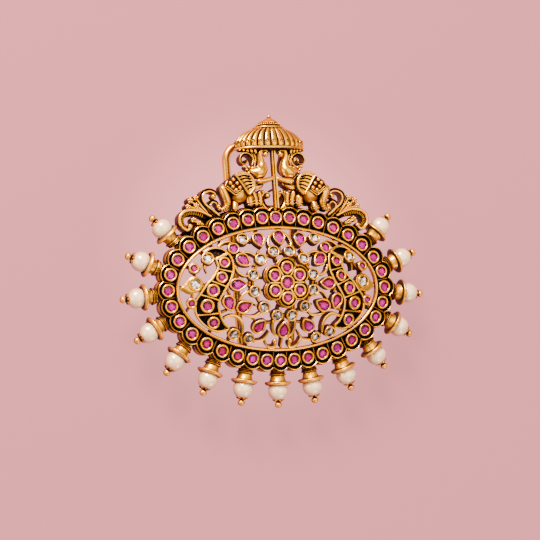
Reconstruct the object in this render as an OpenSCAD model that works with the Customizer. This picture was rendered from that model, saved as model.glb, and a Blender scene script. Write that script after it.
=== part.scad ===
// Hair brooch: a domed oval of pierced scrollwork in a stone-set border, with a figured crest, pearl drops
// and a two-legged fork behind. X is to the right, Y towards the canopy, Z out of the face. Millimetres.

/* [Border] */
// Half the width of the oval through the border stones
border_a = 32.66; // [32:0.02:33.5]
// Half the height of the oval through the border stones
border_b = 20.1; // [19.9:0.1:20.8]
// Height of the border's bezels above the surface that the fork lies on
face_z = 12; // [11.5:0.1:13]
// Radius of a scallop round each border stone
scallop_r = 2.85; // [2.7:0.05:3]
// Thickness of the scalloped wall
wall_t = 0.45; // [0.35:0.05:0.6]
// Radius of a border bezel
bezel_r = 1.85; // [1.8:0.05:1.95]
// Radius of a border stone
ruby_r = 1.32; // [1.2:0.02:1.35]

/* [Lattice] */
// Half the width of the rim's middle line
rim_a = 30; // [29.8:0.1:30.2]
// Half the height of the rim's middle line
rim_b = 17.1; // [17:0.1:17.3]
// Width of the rim
rim_w = 0.95; // [0.8:0.05:1.1]
// Height of the dome above the border's face
dome_h = 4.5; // [3.5:0.1:5]
// Thickness of the pierced sheet
sheet_t = 1.9; // [1.6:0.1:2.2]
// Height of the flower's wall above the dome's top
flower_h = 2.4; // [2:0.1:3]

/* [Crest] */
// Fall of the crest towards the back, in degrees
crest_fall = 5.7; // [4:0.1:7]
// Depth of the scrolls
scroll_t = 3.2; // [3:0.1:3.5]
// Half the width of the canopy at its rim
canopy_w = 10.4; // [9.5:0.1:10.6]
// Number of lobes on the canopy
canopy_lobes = 13; // [9:2:15]

/* [Pearl drops] */
// Radius of a pearl
pearl_r = 2.86; // [2.6:0.02:2.9]
// Distance from the middle of the border stones to the middle of a pearl
pearl_out = 8.45; // [8.4:0.05:8.8]
// Radius of the dish behind a pearl
dish_r = 3.7; // [3.4:0.05:3.8]
// Depth of the drops' middle below the border's face
drop_fall = 3; // [2.8:0.1:3.2]

/* [Hair fork] */
// Thickness of the wire
wire_d = 2.2; // [1.8:0.1:2.4]
// Half the width between the wires at the bend
fork_top_x = 10.4; // [9:0.1:11]
// Half the width between the wires at the tips
fork_tip_x = 7.4; // [6:0.1:8]

/* [Fit] */
// Play between two pieces
play = 0.12; // [0.1:0.01:0.15]

/* [Hidden] */
STONES_PER_QUARTER = 9;
BORDER_STONES = 4 * STONES_PER_QUARTER;
CROWD_DEG = 8;
BORDER_T = 3.9;
CELL_DEPTH = 1.5;
BORDER_TILT = 8;
FLARE = 0.25;
DIVIDER_W = 0.4;
LUG_R = 0.85;
SEAT_DEPTH = 0.75;
STONE_H = 0.85;
TABLE = 0.62;
SEAT_RISE = 0.5;
DOME_A = 30.6;
DOME_B = 17.9;
DOME_MID_Y = -0.3;
RECESS = 0.95;
FLOWER_Y = 1.4;
PETAL_R = 2.75;
PETAL_OUT = 4.25;
HUB_DROP = 1.05;
CREST_Y = 20;
CREST_DROP = 1;
SADDLE_W = 7;
SADDLE_DROP = 3.4;
FORK_Y = 41.2;
FORK_TIP_Y = -20;
BEND_R = 4.2;
BIG = 60;
FINIAL_Y = 48.7;
FINIAL_R = 0.6;
CANOPY_DEPTH = 4.6;
CANOPY_BACK = -0.8;
FINIAL_Z = CANOPY_BACK + 1.6;
PIN_END = 13.3;
// Highest and lowest Y with the oval's middle at zero, and the middle between them
TOP_Y = CREST_Y + (FINIAL_Y - CREST_Y) * cos(crest_fall) + FINIAL_Z * sin(crest_fall) + FINIAL_R;
BOTTOM_Y = -border_b - PIN_END;
MIDDLE_Y = (TOP_Y + BOTTOM_Y) / 2;

// Angles on the border's oval of the drops of the right half, from the top down; the last one is on the axis
DROP_ANGLES = [33.5, 14.5, -3, -20.5, -39, -57, -74, -90];

// Round stones of the lattice's right half: middle x, middle y, bezel radius, stone radius
LATTICE_RUBIES = [
    [25.3, 5.95, 1.5, 0.9],
    [26.4, -3.65, 1.5, 0.9],
    [16.8, 7.4, 1.6, 1.05],
    [17.9, 3.3, 1.65, 1.05],
    [20.45, -0.26, 1.85, 1.2],
    [22.1, -4.45, 1.95, 1.3],
    [20.3, -9.1, 1.75, 1.2],
    [13.8, 11.25, 1.7, 1.2],
];
LATTICE_CLEARS = [
    [21.3, 8.65, 1.8, 1.22],
    [25.2, 1.6, 1.95, 1.45],
    [10.8, 13.9, 1.75, 1.22],
    [2.35, 10.3, 1.72, 1.2],
    [6.4, 8.1, 1.72, 1.2],
    [9, 3.75, 1.72, 1.2],
    [8.75, -0.75, 1.72, 1.2],
    [6.1, -5.2, 1.72, 1.2],
    [2.2, -7.55, 1.72, 1.2],
    [10, -13.7, 1.5, 1],
    [14.4, -12.4, 1.75, 1.22],
];

// Pear stones of the right half: middle x, middle y, direction of the point, length
PEARS = [
    [6.15, 13.6, -101, 3.7],
    [11.4, 7.9, -141, 3.8],
    [13.4, 1.2, 180, 4.1],
    [16.1, -3.9, -108, 3.8],
    [11.7, -4.85, 155, 4.1],
    [7.25, -10.4, 128, 3.9],
];
// Pear stones on the middle line, in the same columns
MIDDLE_PEARS = [
    [0, 14.2, -90, 3.8],
    [0, -11.5, 90, 3.9],
];
PEAR_R = 1.34;
PEAR_WALL = 0.5;
// Share of a pear's length by which its widest place lies behind the middle
PEAR_BACK = 0.08;
// Power of the curve that narrows a pear to its point
PEAR_CURVE = 1.7;

// Outline of the right paisley figure, from its tip round by the tail's end
PAISLEY = [
    [15.6, 10], [14.7, 8.6], [14.4, 6.8], [14.6, 4.7], [15.5, 2.6], [16.5, 0.8], [18.7, -2.9], [18.9, -4.9],
    [18.5, -7.1], [17.4, -9.3], [15.9, -10.9], [18.1, -11.6], [19.8, -11.4], [22.3, -10.1], [24.1, -8.4],
    [25.1, -6.7], [25.4, -4.9], [25.2, -3], [24, -1.2], [22.1, 1.4], [20.8, 2.7], [19.6, 4.3], [18.6, 6.3],
    [18.9, 8.4], [17.3, 9.2],
];
// Outline of the cell between the figure's head and its eye
PAISLEY_HEAD = [
    [15.6, 10], [17, 11.2], [18.8, 11.6], [20.5, 11.3], [22, 10.2], [20.6, 9.2], [18.9, 8.4], [17.3, 9.2],
];
// Outline of the leaf plate round the large clear stone
LEAF_PLATE = [
    [25.2, 3.9], [26.7, 3.6], [27.9, 2.8], [29.2, 1], [28.3, -0.3], [26.9, -1.2], [24.6, -0.8], [23.2, 0.4],
    [23, 2], [23.8, 3.3],
];
// Walls across the paisley, each from end to end
PAISLEY_BARS = [
    [[14.6, 4.7], [18.9, 5.7]],
    [[16.7, 0.7], [21, 2.5]],
    [[18.8, -3], [24.2, -1.2]],
    [[18.8, -6.6], [24.8, -7]],
];
// Scrolls of the lattice's right half: width, then points from end to end
LATTICE_SCROLLS = [
    [0.8, [[15.4, 9.9], [17, 11.3], [19, 11.6], [20.7, 11.3], [22.1, 10]]],
    [0.7, [[21.9, 7.4], [22.2, 5.9], [21.9, 4.7]]],
    [0.8, [[18.1, 11.7], [16.6, 13], [14.9, 13.3], [13.8, 12.6]]],
    [0.8, [[6.1, 11.3], [6.8, 10.3], [7.3, 9.3]]],
    [0.8, [[6.8, 9.1], [8.1, 9.5], [9.4, 10.1], [10.8, 10.2], [12.2, 9.5]]],
    [0.8, [[3, 11.2], [3.4, 12.4], [3.3, 13.4], [2.3, 15.1], [0.4, 16.2]]],
    [0.8, [[14, 6.6], [13.2, 4.7], [11.9, 3.7], [10.4, 3.5]]],
    [0.8, [[10.2, -0.7], [11.2, -0.9], [12.3, -1.8], [13.3, -3.3]]],
    [0.8, [[7.1, -6.6], [8.4, -7.5], [10.2, -7.7], [12.5, -7]]],
    [1.1, [[17.8, -8.1], [15.8, -7.4], [14.1, -7.6], [12.7, -8.8], [12, -10.6], [12, -12.6]]],
    [0.8, [[8.8, -14.6], [6.4, -14.4], [5.1, -13.2], [4.3, -11.8]]],
    [0.9, [[3.2, -8.8], [3.3, -11], [2.6, -12.7], [1.4, -13.5]]],
    [0.8, [[5.4, -14], [4.6, -15.8], [3.2, -16.5], [2.2, -16.1], [2.1, -14.8]]],
    [0.8, [[6, 15.6], [6.1, 17.4]]],
    [0.8, [[7.6, 13.7], [9.4, 13.9]]],
    [0.8, [[11.3, 15], [11.9, 16.4]]],
    [0.8, [[9.6, 9.4], [12.6, 10.6]]],
    [0.8, [[24.2, 5.2], [22.4, 7.8]]],
    [0.8, [[26.2, 6.4], [28.4, 7.2]]],
    [0.8, [[25.3, 5], [25.2, 3.6]]],
    [0.8, [[26.2, -2.6], [26.1, -0.8]]],
    [0.8, [[26.9, -4.6], [28, -6.6]]],
    [0.8, [[28.6, 1], [30.2, 1]]],
    [0.8, [[23.5, 1.5], [21.6, 1.9]]],
    [0.8, [[21.8, 10], [23.4, 11.6]]],
    [0.8, [[19.2, 11.4], [20, 13.6]]],
    [0.8, [[2.4, 10.2], [6.4, 8.2]]],
    [0.8, [[6.4, 8.2], [9.2, 3.8]]],
    [0.8, [[9.2, 3.8], [8.9, -0.8]]],
    [0.8, [[8.9, -0.8], [6.4, -5.2]]],
    [0.8, [[6.4, -5.2], [2.4, -7.6]]],
    [0.8, [[-2.4, -7.6], [2.4, -7.6]]],
    [0.8, [[-2.4, 10.3], [2.4, 10.3]]],
    [0.8, [[2, 10], [1.6, 7.6]]],
    [0.8, [[8.6, 3.4], [5.6, 3]]],
    [0.8, [[8.4, -0.6], [5.6, -0.4]]],
    [0.8, [[2.2, -7], [1.4, -4.6]]],
    [0.8, [[10.2, 1.2], [9.2, 3.6]]],
    [0.8, [[10.2, 1.2], [8.9, -0.8]]],
    [0.8, [[10.2, 1.2], [12, 1.2]]],
    [0.8, [[15.6, -1.6], [16.6, 0.6]]],
    [0.8, [[16.4, -5.8], [18.8, -6.8]]],
    [0.8, [[8.8, -4.6], [6.6, -5.2]]],
    [0.8, [[8.6, 6.4], [7, 7.8]]],
    [0.8, [[13.4, 9.4], [14.8, 8.8]]],
    [0.8, [[10.1, -13.4], [10.5, -16.3]]],
    [0.8, [[10.4, -13.4], [14.2, -12.3]]],
    [0.8, [[14.6, -12.4], [15.8, -14.6]]],
    [0.8, [[14.8, -11.8], [17, -10.8]]],
    [0.8, [[20.4, -11], [21.2, -12.2]]],
    [0.8, [[8.2, -9.2], [9.7, -7.8]]],
    [0.8, [[3.2, -9.6], [6.6, -9.8]]],
    [0.8, [[0, -13.6], [0, -17]]],
    [0.8, [[0, 15.8], [0, 17]]],
    [0.8, [[0, -9.6], [0, -7.4]]],
    [0.8, [[0, 12], [0, 10.2]]],
    [0.8, [[17.4, 12.6], [17.2, 14]]],
];

// Scrolls of the crest's right half, in the crest's own plane: width, then points from end to end
CREST_SCROLLS = [
    [1, [
        [16.8, 20.4], [18.6, 22.2], [20.4, 23.8], [21.4, 25.4], [21, 27], [19.2, 27.9], [17.4, 27.5], [16.9, 26.4],
    ]],
    [0.9, [[17.8, 21.3], [19, 22.6], [19.2, 23.8], [18.4, 24.8], [17.6, 24.7]]],
    [1, [
        [18.8, 20.4], [22, 21.9], [24.8, 22.4], [27, 21.8], [28.3, 20.2], [28, 18], [26.4, 16.7], [25.2, 17.4],
    ]],
    [0.9, [[21.4, 18.2], [23.4, 19.2], [25, 19.4]]],
    [0.9, [[19.6, 21], [22.6, 23.6], [24.6, 24.8]]],
    [0.9, [[20.6, 21.8], [22.2, 24.2], [22.6, 25.6]]],
    [0.9, [[20, 21.2], [23.2, 22.8], [25.6, 23.4]]],
    [0.9, [[0.6, 22], [2.6, 23.4], [3.2, 25], [2.9, 26.4], [2.1, 26.9], [1.5, 26.2]]],
    [0.8, [[3.5, 22.4], [3.8, 24.4], [3.8, 26.4], [3.8, 28]]],
    [1.1, [[0.3, 27.9], [6.6, 28.6]]],
    [0.8, [[2.8, 26.8], [3, 28]]],
];
// Bars that the peacocks stand on, in the same columns
PERCH_BARS = [
    [1.3, [[0.3, 30.9], [2.6, 30.3], [5.6, 29.9]]],
    [1, [[5.4, 29.7], [6, 28.4]]],
];
// Middle post: width, thickness, height of its front above the crest's plane, foot and top
POST_W = 1.2;
POST_T = 2;
POST_FRONT = 2.9;
POST_FOOT = 21.4;
POST_TOP = 39;
// Spans, from low to high, over which the post reaches back to the scrolls and bars
POST_TIES = [[21.4, 23.4], [27.3, 28.7], [30.4, 31.6]];
// Strand that hangs from the canopy's rim behind the right peacock's head
STRAND = [[4.9, 37], [5.5, 38], [5.7, 39.4]];
LEAF_TIPS = [[24.8, 25], [25.6, 23.3], [23.1, 25.7], [23.1, 23.6], [24.3, 19.6], [22.8, 18.7]];
LEAF_R = 0.95;
BALL_ENDS = [[17.9, 26.1], [25.3, 17.8]];
BALL_R = 0.75;

// Outlines of the right figures, in the crest's own plane
PEACOCK_BODY = [
    [6.6, 31.7], [5, 31], [3.3, 31.2], [2.1, 32.1], [1.6, 33.4], [2, 35], [2.7, 36.4], [2.8, 37.8], [2.2, 38.7],
    [3.2, 39], [4.2, 38.3], [4.2, 36.6], [4.5, 35.1], [5.4, 34.2], [7, 33.9],
];
PEACOCK_TAIL = [[6.6, 33], [5.8, 35], [6.2, 36.9], [7.6, 38], [9, 37.6], [9.5, 36.3], [8.9, 35.2], [8, 35.3]];
ELEPHANT_BODY = [
    [6.9, 27.4], [6.6, 29.6], [7.7, 31.5], [9.7, 32.4], [12.3, 31.6], [14.3, 30.3], [15.7, 28.8], [15.5, 27.4],
    [13.8, 26.2], [13.5, 24.9], [12.3, 23.9], [10.7, 23.6], [9, 24.1], [8, 25.3],
];
ELEPHANT_EAR = [[12, 31.4], [9.6, 32.2], [7.6, 31.3], [6.9, 29.6], [7.2, 27.8], [8.4, 26.5]];
ELEPHANT_CLOTH = [[12.5, 31.2], [14.3, 30], [15.2, 28.4], [12.5, 26.3], [9.5, 27.6]];
ELEPHANT_TRUNK = [[15.1, 28.6], [15, 26.8], [14.6, 25], [14.9, 23.5], [15.8, 22.8], [16.7, 23.5]];
ELEPHANT_LEGS = [
    [1.7, [[12.7, 24.6], [12.8, 22.2]]],
    [1.8, [[8, 25.8], [7.2, 24.4], [6.8, 23.2]]],
    [1.4, [[6.6, 27.2], [5.6, 25.2], [5.2, 23.2]]],
];
CLOTH_STUDS = [[12.2, 29.6], [13.6, 28.9], [12.8, 28], [11.8, 28.6]];

// Heights along the canopy: crest y, half-width, depth
CANOPY_ROWS = [
    [39.9, 1, 1],
    [41.3, 0.985, 1.04],
    [42.8, 0.9, 1],
    [44.2, 0.74, 0.88],
    [45.4, 0.46, 0.66],
];

// Angle on the oval of border stone i, crowded a little towards the ends of the long axis
function stone_angle(i) =
    let (quarter = floor(i / STONES_PER_QUARTER), u = (i - quarter * STONES_PER_QUARTER) / STONES_PER_QUARTER)
    quarter % 2 == 0
        ? 90 - 90 * (quarter + u) + CROWD_DEG * sin(180 * u)
        : 90 - 90 * (quarter + u) - CROWD_DEG * sin(180 * u);

function oval(a, b, t) = [a * cos(t), b * sin(t)];
function oval_points(a, b, n) = [for (k = [0:n - 1]) oval(a, b, 360 * k / n)];
// Direction square to the border's oval at angle t
function outward(t) = atan2(sin(t) / border_b, cos(t) / border_a);

function dome_z(x, y) = dome_h * max(0, 1 - pow(x / DOME_A, 2) - pow((y - DOME_MID_Y) / DOME_B, 2));
function dome_slope(x, y) = [-2 * dome_h * x / pow(DOME_A, 2), -2 * dome_h * (y - DOME_MID_Y) / pow(DOME_B, 2)];

// Drop i runs from the upper left one round by the bottom to the upper right one
function drop_angle(i) = i <= 8 ? 180 - DROP_ANGLES[i - 1] : DROP_ANGLES[15 - i];

// Unit direction of a line at point k, and the side direction of the line there
function along(p, k) =
    let (a = p[max(k - 1, 0)], b = p[min(k + 1, len(p) - 1)])
    (b - a) / norm(b - a);
function beside(p, k) = let (d = along(p, k)) [-d[1], d[0]];
function ribbon(p, w) = concat(
    [for (k = [0:len(p) - 1]) p[k] + beside(p, k) * w / 2],
    [for (k = [len(p) - 1:-1:0]) p[k] - beside(p, k) * w / 2]
);

function centroid(p) = [for (c = [0, 1]) [for (q = p) q[c]] * [for (q = p) 1] / len(p)];

// Pear outline with its point towards +X and its middle at the origin
function pear_flank(r, length, u) = [length * (u * (0.5 + PEAR_BACK) - PEAR_BACK), r * (1 - pow(u, PEAR_CURVE))];
function pear(r, length) = concat(
    [[length / 2, 0]],
    [for (u = [0.72, 0.38]) pear_flank(r, length, u)],
    [for (k = [0:6]) [length * ((0.5 - PEAR_BACK) * cos(90 + 30 * k) - PEAR_BACK), r * sin(90 + 30 * k)]],
    [for (u = [0.38, 0.72]) [pear_flank(r, length, u)[0], -pear_flank(r, length, u)[1]]]
);

// Moves a piece so that the origin is under the middle of the whole brooch
module placed() {
    translate([0, -MIDDLE_Y, 0]) children();
}

module both_sides() {
    children();
    mirror([1, 0, 0]) children();
}

// Puts its children at a place on the dome, tilted with the dome and turned about their own axis
module on_dome(x, y, turn = 0) {
    slope = dome_slope(x, y);
    translate([x, y, face_z + dome_z(x, y)])
        rotate(atan(norm(slope)), [slope[1], -slope[0], 0.0001])
            rotate(turn)
                children();
}

// Stands its children up square to the border's oval at angle t, their Z running outward
module at_drop(t) {
    p = oval(border_a, border_b, t);
    translate([p[0], p[1], face_z - drop_fall])
        rotate([0, 90, outward(t)])
            children();
}

module in_crest() {
    translate([0, CREST_Y, face_z - CREST_DROP])
        rotate([-crest_fall, 0, 0])
            translate([0, -CREST_Y, 0])
                children();
}

module at_border_stone(i) {
    t = stone_angle(i);
    p = oval(border_a, border_b, t);
    translate([p[0], p[1], face_z])
        rotate(outward(t))
            rotate([0, BORDER_TILT, 0])
                children();
}

// Cut stone with a flat table, its girdle on the seat at height zero
module round_stone(r) {
    linear_extrude(STONE_H, scale = TABLE)
        circle(r, $fn = 8);
}

module pear_stone(length) {
    linear_extrude(STONE_H, scale = TABLE)
        polygon(pear(PEAR_R, length));
}

module border_outline() {
    polygon(oval_points(border_a + 1.6, border_b + 1.6, 72));
    for (i = [0:BORDER_STONES - 1])
        translate(oval(border_a, border_b, stone_angle(i)))
            circle(scallop_r, $fn = 26);
}

module border_dividers() {
    for (i = [0:BORDER_STONES - 1]) {
        t = (stone_angle(i) + stone_angle(i + 1) - (i == BORDER_STONES - 1 ? 360 : 0)) / 2;
        translate(oval(border_a, border_b, t))
            rotate(outward(t))
                translate([-3, -DIVIDER_W / 2])
                    square([5, DIVIDER_W]);
    }
}

module border_frame() color("goldenrod") placed() {
    inner_a = rim_a + rim_w / 2 + play;
    inner_b = rim_b + rim_w / 2 + play;
    floor_z = face_z - CELL_DEPTH;
    difference() {
        union() {
            translate([0, 0, face_z - BORDER_T])
                linear_extrude(BORDER_T - CELL_DEPTH)
                    difference() {
                        offset(delta = FLARE) border_outline();
                        polygon(oval_points(inner_a, inner_b, 96));
                    }
            translate([0, 0, floor_z - 0.2])
                linear_extrude(CELL_DEPTH + 0.1)
                    offset(delta = 0)
                        difference() {
                            border_outline();
                            difference() {
                                offset(delta = -wall_t) border_outline();
                                border_dividers();
                            }
                            polygon(oval_points(inner_a + 0.1, inner_b + 0.1, 96));
                        }
            for (i = [0:BORDER_STONES - 1])
                at_border_stone(i)
                    translate([0, 0, -CELL_DEPTH - 0.6])
                        cylinder(h = CELL_DEPTH + 0.6, r = bezel_r, $fn = 24);
            for (k = [1:15])
                at_drop(drop_angle(k))
                    cylinder(h = scallop_r + FLARE, r = LUG_R, $fn = 24);
        }
        for (i = [0:BORDER_STONES - 1])
            at_border_stone(i)
                translate([0, 0, -SEAT_DEPTH])
                    cylinder(h = 3, r = ruby_r + play, $fn = 24);
    }
}

module border_rubies() color("mediumvioletred") placed() {
    for (i = [0:BORDER_STONES - 1])
        at_border_stone(i)
            translate([0, 0, play - SEAT_DEPTH])
                round_stone(ruby_r);
}

// Solid below the dome, lowered by a given depth, as a coarse faceted cap
module dome_cap(drop, extra) {
    rings = 4;
    sectors = 20;
    top = [for (j = [1:rings], k = [0:sectors - 1])
        let (r = j / rings, p = oval((DOME_A + extra) * r, (DOME_B + extra) * r, 360 * k / sectors))
        [p[0], p[1] + DOME_MID_Y, face_z + dome_z(p[0], p[1] + DOME_MID_Y) - drop]];
    middle = [[0, DOME_MID_Y, face_z + dome_h - drop]];
    base = [for (k = [0:sectors - 1])
        let (p = oval(DOME_A + extra, DOME_B + extra, 360 * k / sectors))
        [p[0], p[1] + DOME_MID_Y, 0]];
    points = concat(middle, top, base);
    function at(j, k) = 1 + (j - 1) * sectors + k % sectors;
    polyhedron(points, concat(
        [for (k = [0:sectors - 1]) [0, at(1, k + 1), at(1, k)]],
        [for (j = [1:rings - 1], k = [0:sectors - 1]) each [
            [at(j, k), at(j, k + 1), at(j + 1, k + 1)],
            [at(j, k), at(j + 1, k + 1), at(j + 1, k)]
        ]],
        [for (k = [0:sectors - 1]) [at(rings, k), at(rings, k + 1), at(rings + 1, k + 1), at(rings + 1, k)]],
        [[for (k = [0:sectors - 1]) at(rings + 1, k)]]
    ));
}

module paisley_cells() {
    difference() {
        union() {
            offset(delta = -0.4) polygon(PAISLEY);
            offset(delta = -0.4) polygon(PAISLEY_HEAD);
        }
        for (bar = PAISLEY_BARS) polygon(ribbon(bar, 0.8));
    }
}

module lattice_sheet() {
    intersection() {
        union() {
            both_sides() {
                for (s = LATTICE_SCROLLS) polygon(ribbon(s[1], s[0]));
                offset(delta = 0.4) polygon(PAISLEY);
                offset(delta = 0.4) polygon(PAISLEY_HEAD);
                offset(delta = 0.1) polygon(LEAF_PLATE);
                for (s = concat(LATTICE_RUBIES, LATTICE_CLEARS))
                    translate([s[0], s[1]]) circle(s[2] - 0.3, $fn = 12);
                for (s = PEARS)
                    translate([s[0], s[1]]) circle(1.3, $fn = 12);
            }
            translate([0, FLOWER_Y]) flower_outline(-0.3);
            for (s = MIDDLE_PEARS)
                translate([s[0], s[1]]) circle(1.3, $fn = 12);
        }
        polygon(oval_points(rim_a, rim_b, 72));
    }
}

module lattice_bezels() {
    both_sides() {
        for (s = concat(LATTICE_RUBIES, LATTICE_CLEARS))
            on_dome(s[0], s[1])
                translate([0, 0, -1.6])
                    cylinder(h = 1.6 + SEAT_RISE, r = s[2], $fn = 24);
        for (s = PEARS) pear_bezel(s);
    }
    for (s = MIDDLE_PEARS) pear_bezel(s);
}

module pear_bezel(s) {
    on_dome(s[0], s[1], s[2])
        translate([0, 0, -1.6])
            linear_extrude(1.6 + SEAT_RISE)
                polygon(pear(PEAR_R + PEAR_WALL, s[3] + 2.2 * PEAR_WALL));
}

module pear_seat(s) {
    on_dome(s[0], s[1], s[2])
        translate([0, 0, SEAT_RISE - SEAT_DEPTH])
            linear_extrude(3)
                polygon(pear(PEAR_R + play, s[3] + 2.2 * play));
}

module lattice_seats() {
    both_sides() {
        for (s = concat(LATTICE_RUBIES, LATTICE_CLEARS))
            on_dome(s[0], s[1])
                translate([0, 0, SEAT_RISE - SEAT_DEPTH])
                    cylinder(h = 3, r = s[3] + play, $fn = 24);
        for (s = PEARS) pear_seat(s);
    }
    for (s = MIDDLE_PEARS) pear_seat(s);
}

module lattice() color("gold") placed() {
    hub_z = face_z + dome_h - HUB_DROP;
    difference() {
        union() {
            difference() {
                intersection() {
                    linear_extrude(BIG) offset(delta = 0) lattice_sheet();
                    dome_cap(0, 0);
                }
                dome_cap(sheet_t, 0.5);
                difference() {
                    linear_extrude(BIG) both_sides() paisley_cells();
                    dome_cap(RECESS, 0.8);
                }
            }
            translate([0, 0, face_z - BORDER_T])
                linear_extrude(BORDER_T + 0.4)
                    difference() {
                        polygon(oval_points(rim_a + rim_w / 2, rim_b + rim_w / 2, 96));
                        polygon(oval_points(rim_a - rim_w / 2, rim_b - rim_w / 2, 96));
                    }
            lattice_bezels();
        }
        translate([0, FLOWER_Y, hub_z])
            linear_extrude(BIG) flower_outline(play);
        lattice_seats();
    }
}

// Six-lobed outline of the flower, grown by a given amount
module flower_outline(grow) {
    offset(delta = grow) {
        circle(PETAL_OUT, $fn = 24);
        for (k = [0:5])
            rotate(60 * k + 90)
                translate([PETAL_OUT, 0]) circle(PETAL_R, $fn = 20);
    }
}

module flower() color("gold") placed() {
    base_z = face_z + dome_h - HUB_DROP + play;
    top_z = face_z + dome_h + flower_h;
    bezel_z = top_z + 0.15;
    translate([0, FLOWER_Y, 0])
        difference() {
            union() {
                translate([0, 0, base_z]) linear_extrude(top_z - 1.2 - base_z) flower_outline(0);
                translate([0, 0, top_z - 1.4])
                    linear_extrude(1.4)
                        offset(delta = 0)
                            difference() {
                                flower_outline(-0.05);
                                difference() {
                                    flower_outline(-0.45);
                                    for (k = [0:5])
                                        rotate(60 * k + 60)
                                            translate([2.6, -0.2]) square([4, 0.4]);
                                }
                            }
                for (s = flower_seats())
                    translate([s[0], s[1], top_z - 1.6])
                        cylinder(h = bezel_z - top_z + 1.6, r = s[2], $fn = 24);
            }
            for (s = flower_seats())
                translate([s[0], s[1], bezel_z - SEAT_DEPTH]) cylinder(h = 3, r = s[3] + play, $fn = 24);
        }
}

// Stones of the flower, from its middle: x, y, bezel radius, stone radius
function flower_seats() = concat(
    [[0, 0, 2.15, 1.6]],
    [for (k = [0:5]) [PETAL_OUT * cos(60 * k + 90), PETAL_OUT * sin(60 * k + 90), 1.85, 1.25]]
);

module round_rubies() color("mediumvioletred") placed() {
    both_sides()
        for (s = LATTICE_RUBIES)
            on_dome(s[0], s[1])
                translate([0, 0, SEAT_RISE - SEAT_DEPTH + play]) round_stone(s[3]);
    translate([0, FLOWER_Y, face_z + dome_h + flower_h + 0.15 - SEAT_DEPTH + play])
        for (s = flower_seats())
            translate([s[0], s[1], 0]) round_stone(s[3]);
}

module clear_stones() color("lightcyan") placed() {
    both_sides()
        for (s = LATTICE_CLEARS)
            on_dome(s[0], s[1])
                translate([0, 0, SEAT_RISE - SEAT_DEPTH + play]) round_stone(s[3]);
}

module seated_pear(s) {
    on_dome(s[0], s[1], s[2])
        translate([0, 0, SEAT_RISE - SEAT_DEPTH + play]) pear_stone(s[3]);
}

module pear_rubies() color("mediumvioletred") placed() {
    both_sides()
        for (s = PEARS) seated_pear(s);
    for (s = MIDDLE_PEARS) seated_pear(s);
}

// Room that the border and its play take out of the crest
module border_room() {
    translate([0, 0, face_z - BORDER_T - play])
        linear_extrude(BORDER_T + 2)
            intersection() {
                offset(delta = FLARE + play) border_outline();
                translate([-30, 10]) square([60, 16]);
            }
}

// Foot band under the border, the scrolls, the bars and the pole
module crest_frame() color("goldenrod") placed() {
    band_z = face_z - BORDER_T - play;
    translate([0, 0, band_z - 1.4])
        linear_extrude(1.4)
            intersection() {
                difference() {
                    polygon(oval_points(border_a + 3.6, border_b + 3.6, 96));
                    polygon(oval_points(border_a + 0.6, border_b + 0.6, 96));
                }
                translate([-27.2, 12]) square([54.4, 20]);
            }
    difference() {
        in_crest() {
            translate([0, 0, -scroll_t])
                linear_extrude(scroll_t)
                    offset(delta = 0)
                        both_sides() {
                            for (s = CREST_SCROLLS) polygon(ribbon(s[1], s[0]));
                            for (p = LEAF_TIPS) translate(p) circle(LEAF_R, $fn = 12);
                            for (p = BALL_ENDS) translate(p) circle(BALL_R, $fn = 12);
                        }
            translate([0, 0, -scroll_t + 0.2])
                linear_extrude(scroll_t + 2.2)
                    offset(delta = 0)
                        both_sides()
                            for (s = PERCH_BARS) polygon(ribbon(s[1], s[0]));
            translate([-POST_W / 2, POST_FOOT, POST_FRONT - POST_T])
                cube([POST_W, POST_TOP - POST_FOOT, POST_T]);
            for (span = POST_TIES)
                translate([-POST_W / 2, span[0], -scroll_t - 0.1])
                    cube([POST_W, span[1] - span[0], scroll_t + 0.1 + POST_FRONT]);
        }
        border_room();
    }
}

// Solid standing on the crest plane's back, with a flat rounded-off top
module pillow(outline, bottom, shoulder, top, narrow = 0.6) {
    mid = centroid(outline);
    translate([mid[0], mid[1], bottom])
        linear_extrude(shoulder - bottom) translate(-mid) polygon(outline);
    translate([mid[0], mid[1], shoulder])
        linear_extrude(top - shoulder, scale = narrow) translate(-mid) polygon(outline);
}

module canopy() color("goldenrod") placed() {
    in_crest() {
        canopy_dome();
        translate([0, 0, -0.7]) linear_extrude(1.6) both_sides() polygon(ribbon(STRAND, 0.8));
        canopy_tier(40.1, 1, canopy_w + 0.2, CANOPY_DEPTH + 0.3);
        canopy_tier(46.2, 0.9, 5, CANOPY_DEPTH * 0.72);
        canopy_tier(47.2, 1.1, 3.4, CANOPY_DEPTH * 0.62);
        translate([0, 47.1, FINIAL_Z]) rotate([-90, 0, 0]) cylinder(h = 1.3, r1 = 2.2, r2 = 0.6, $fn = 10);
        translate([0, FINIAL_Y, FINIAL_Z]) sphere(FINIAL_R, $fn = 20);
    }
    fork_saddle();
}

// Half-oval plate whose upper face is at crest height y, its flat side on the canopy's back
module canopy_tier(y, thick, w, d) {
    translate([0, y, CANOPY_BACK])
        rotate([90, 0, 0])
            linear_extrude(thick)
                polygon([for (k = [0:24]) [w * cos(180 * k / 24), d * sin(180 * k / 24)]]);
}

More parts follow.
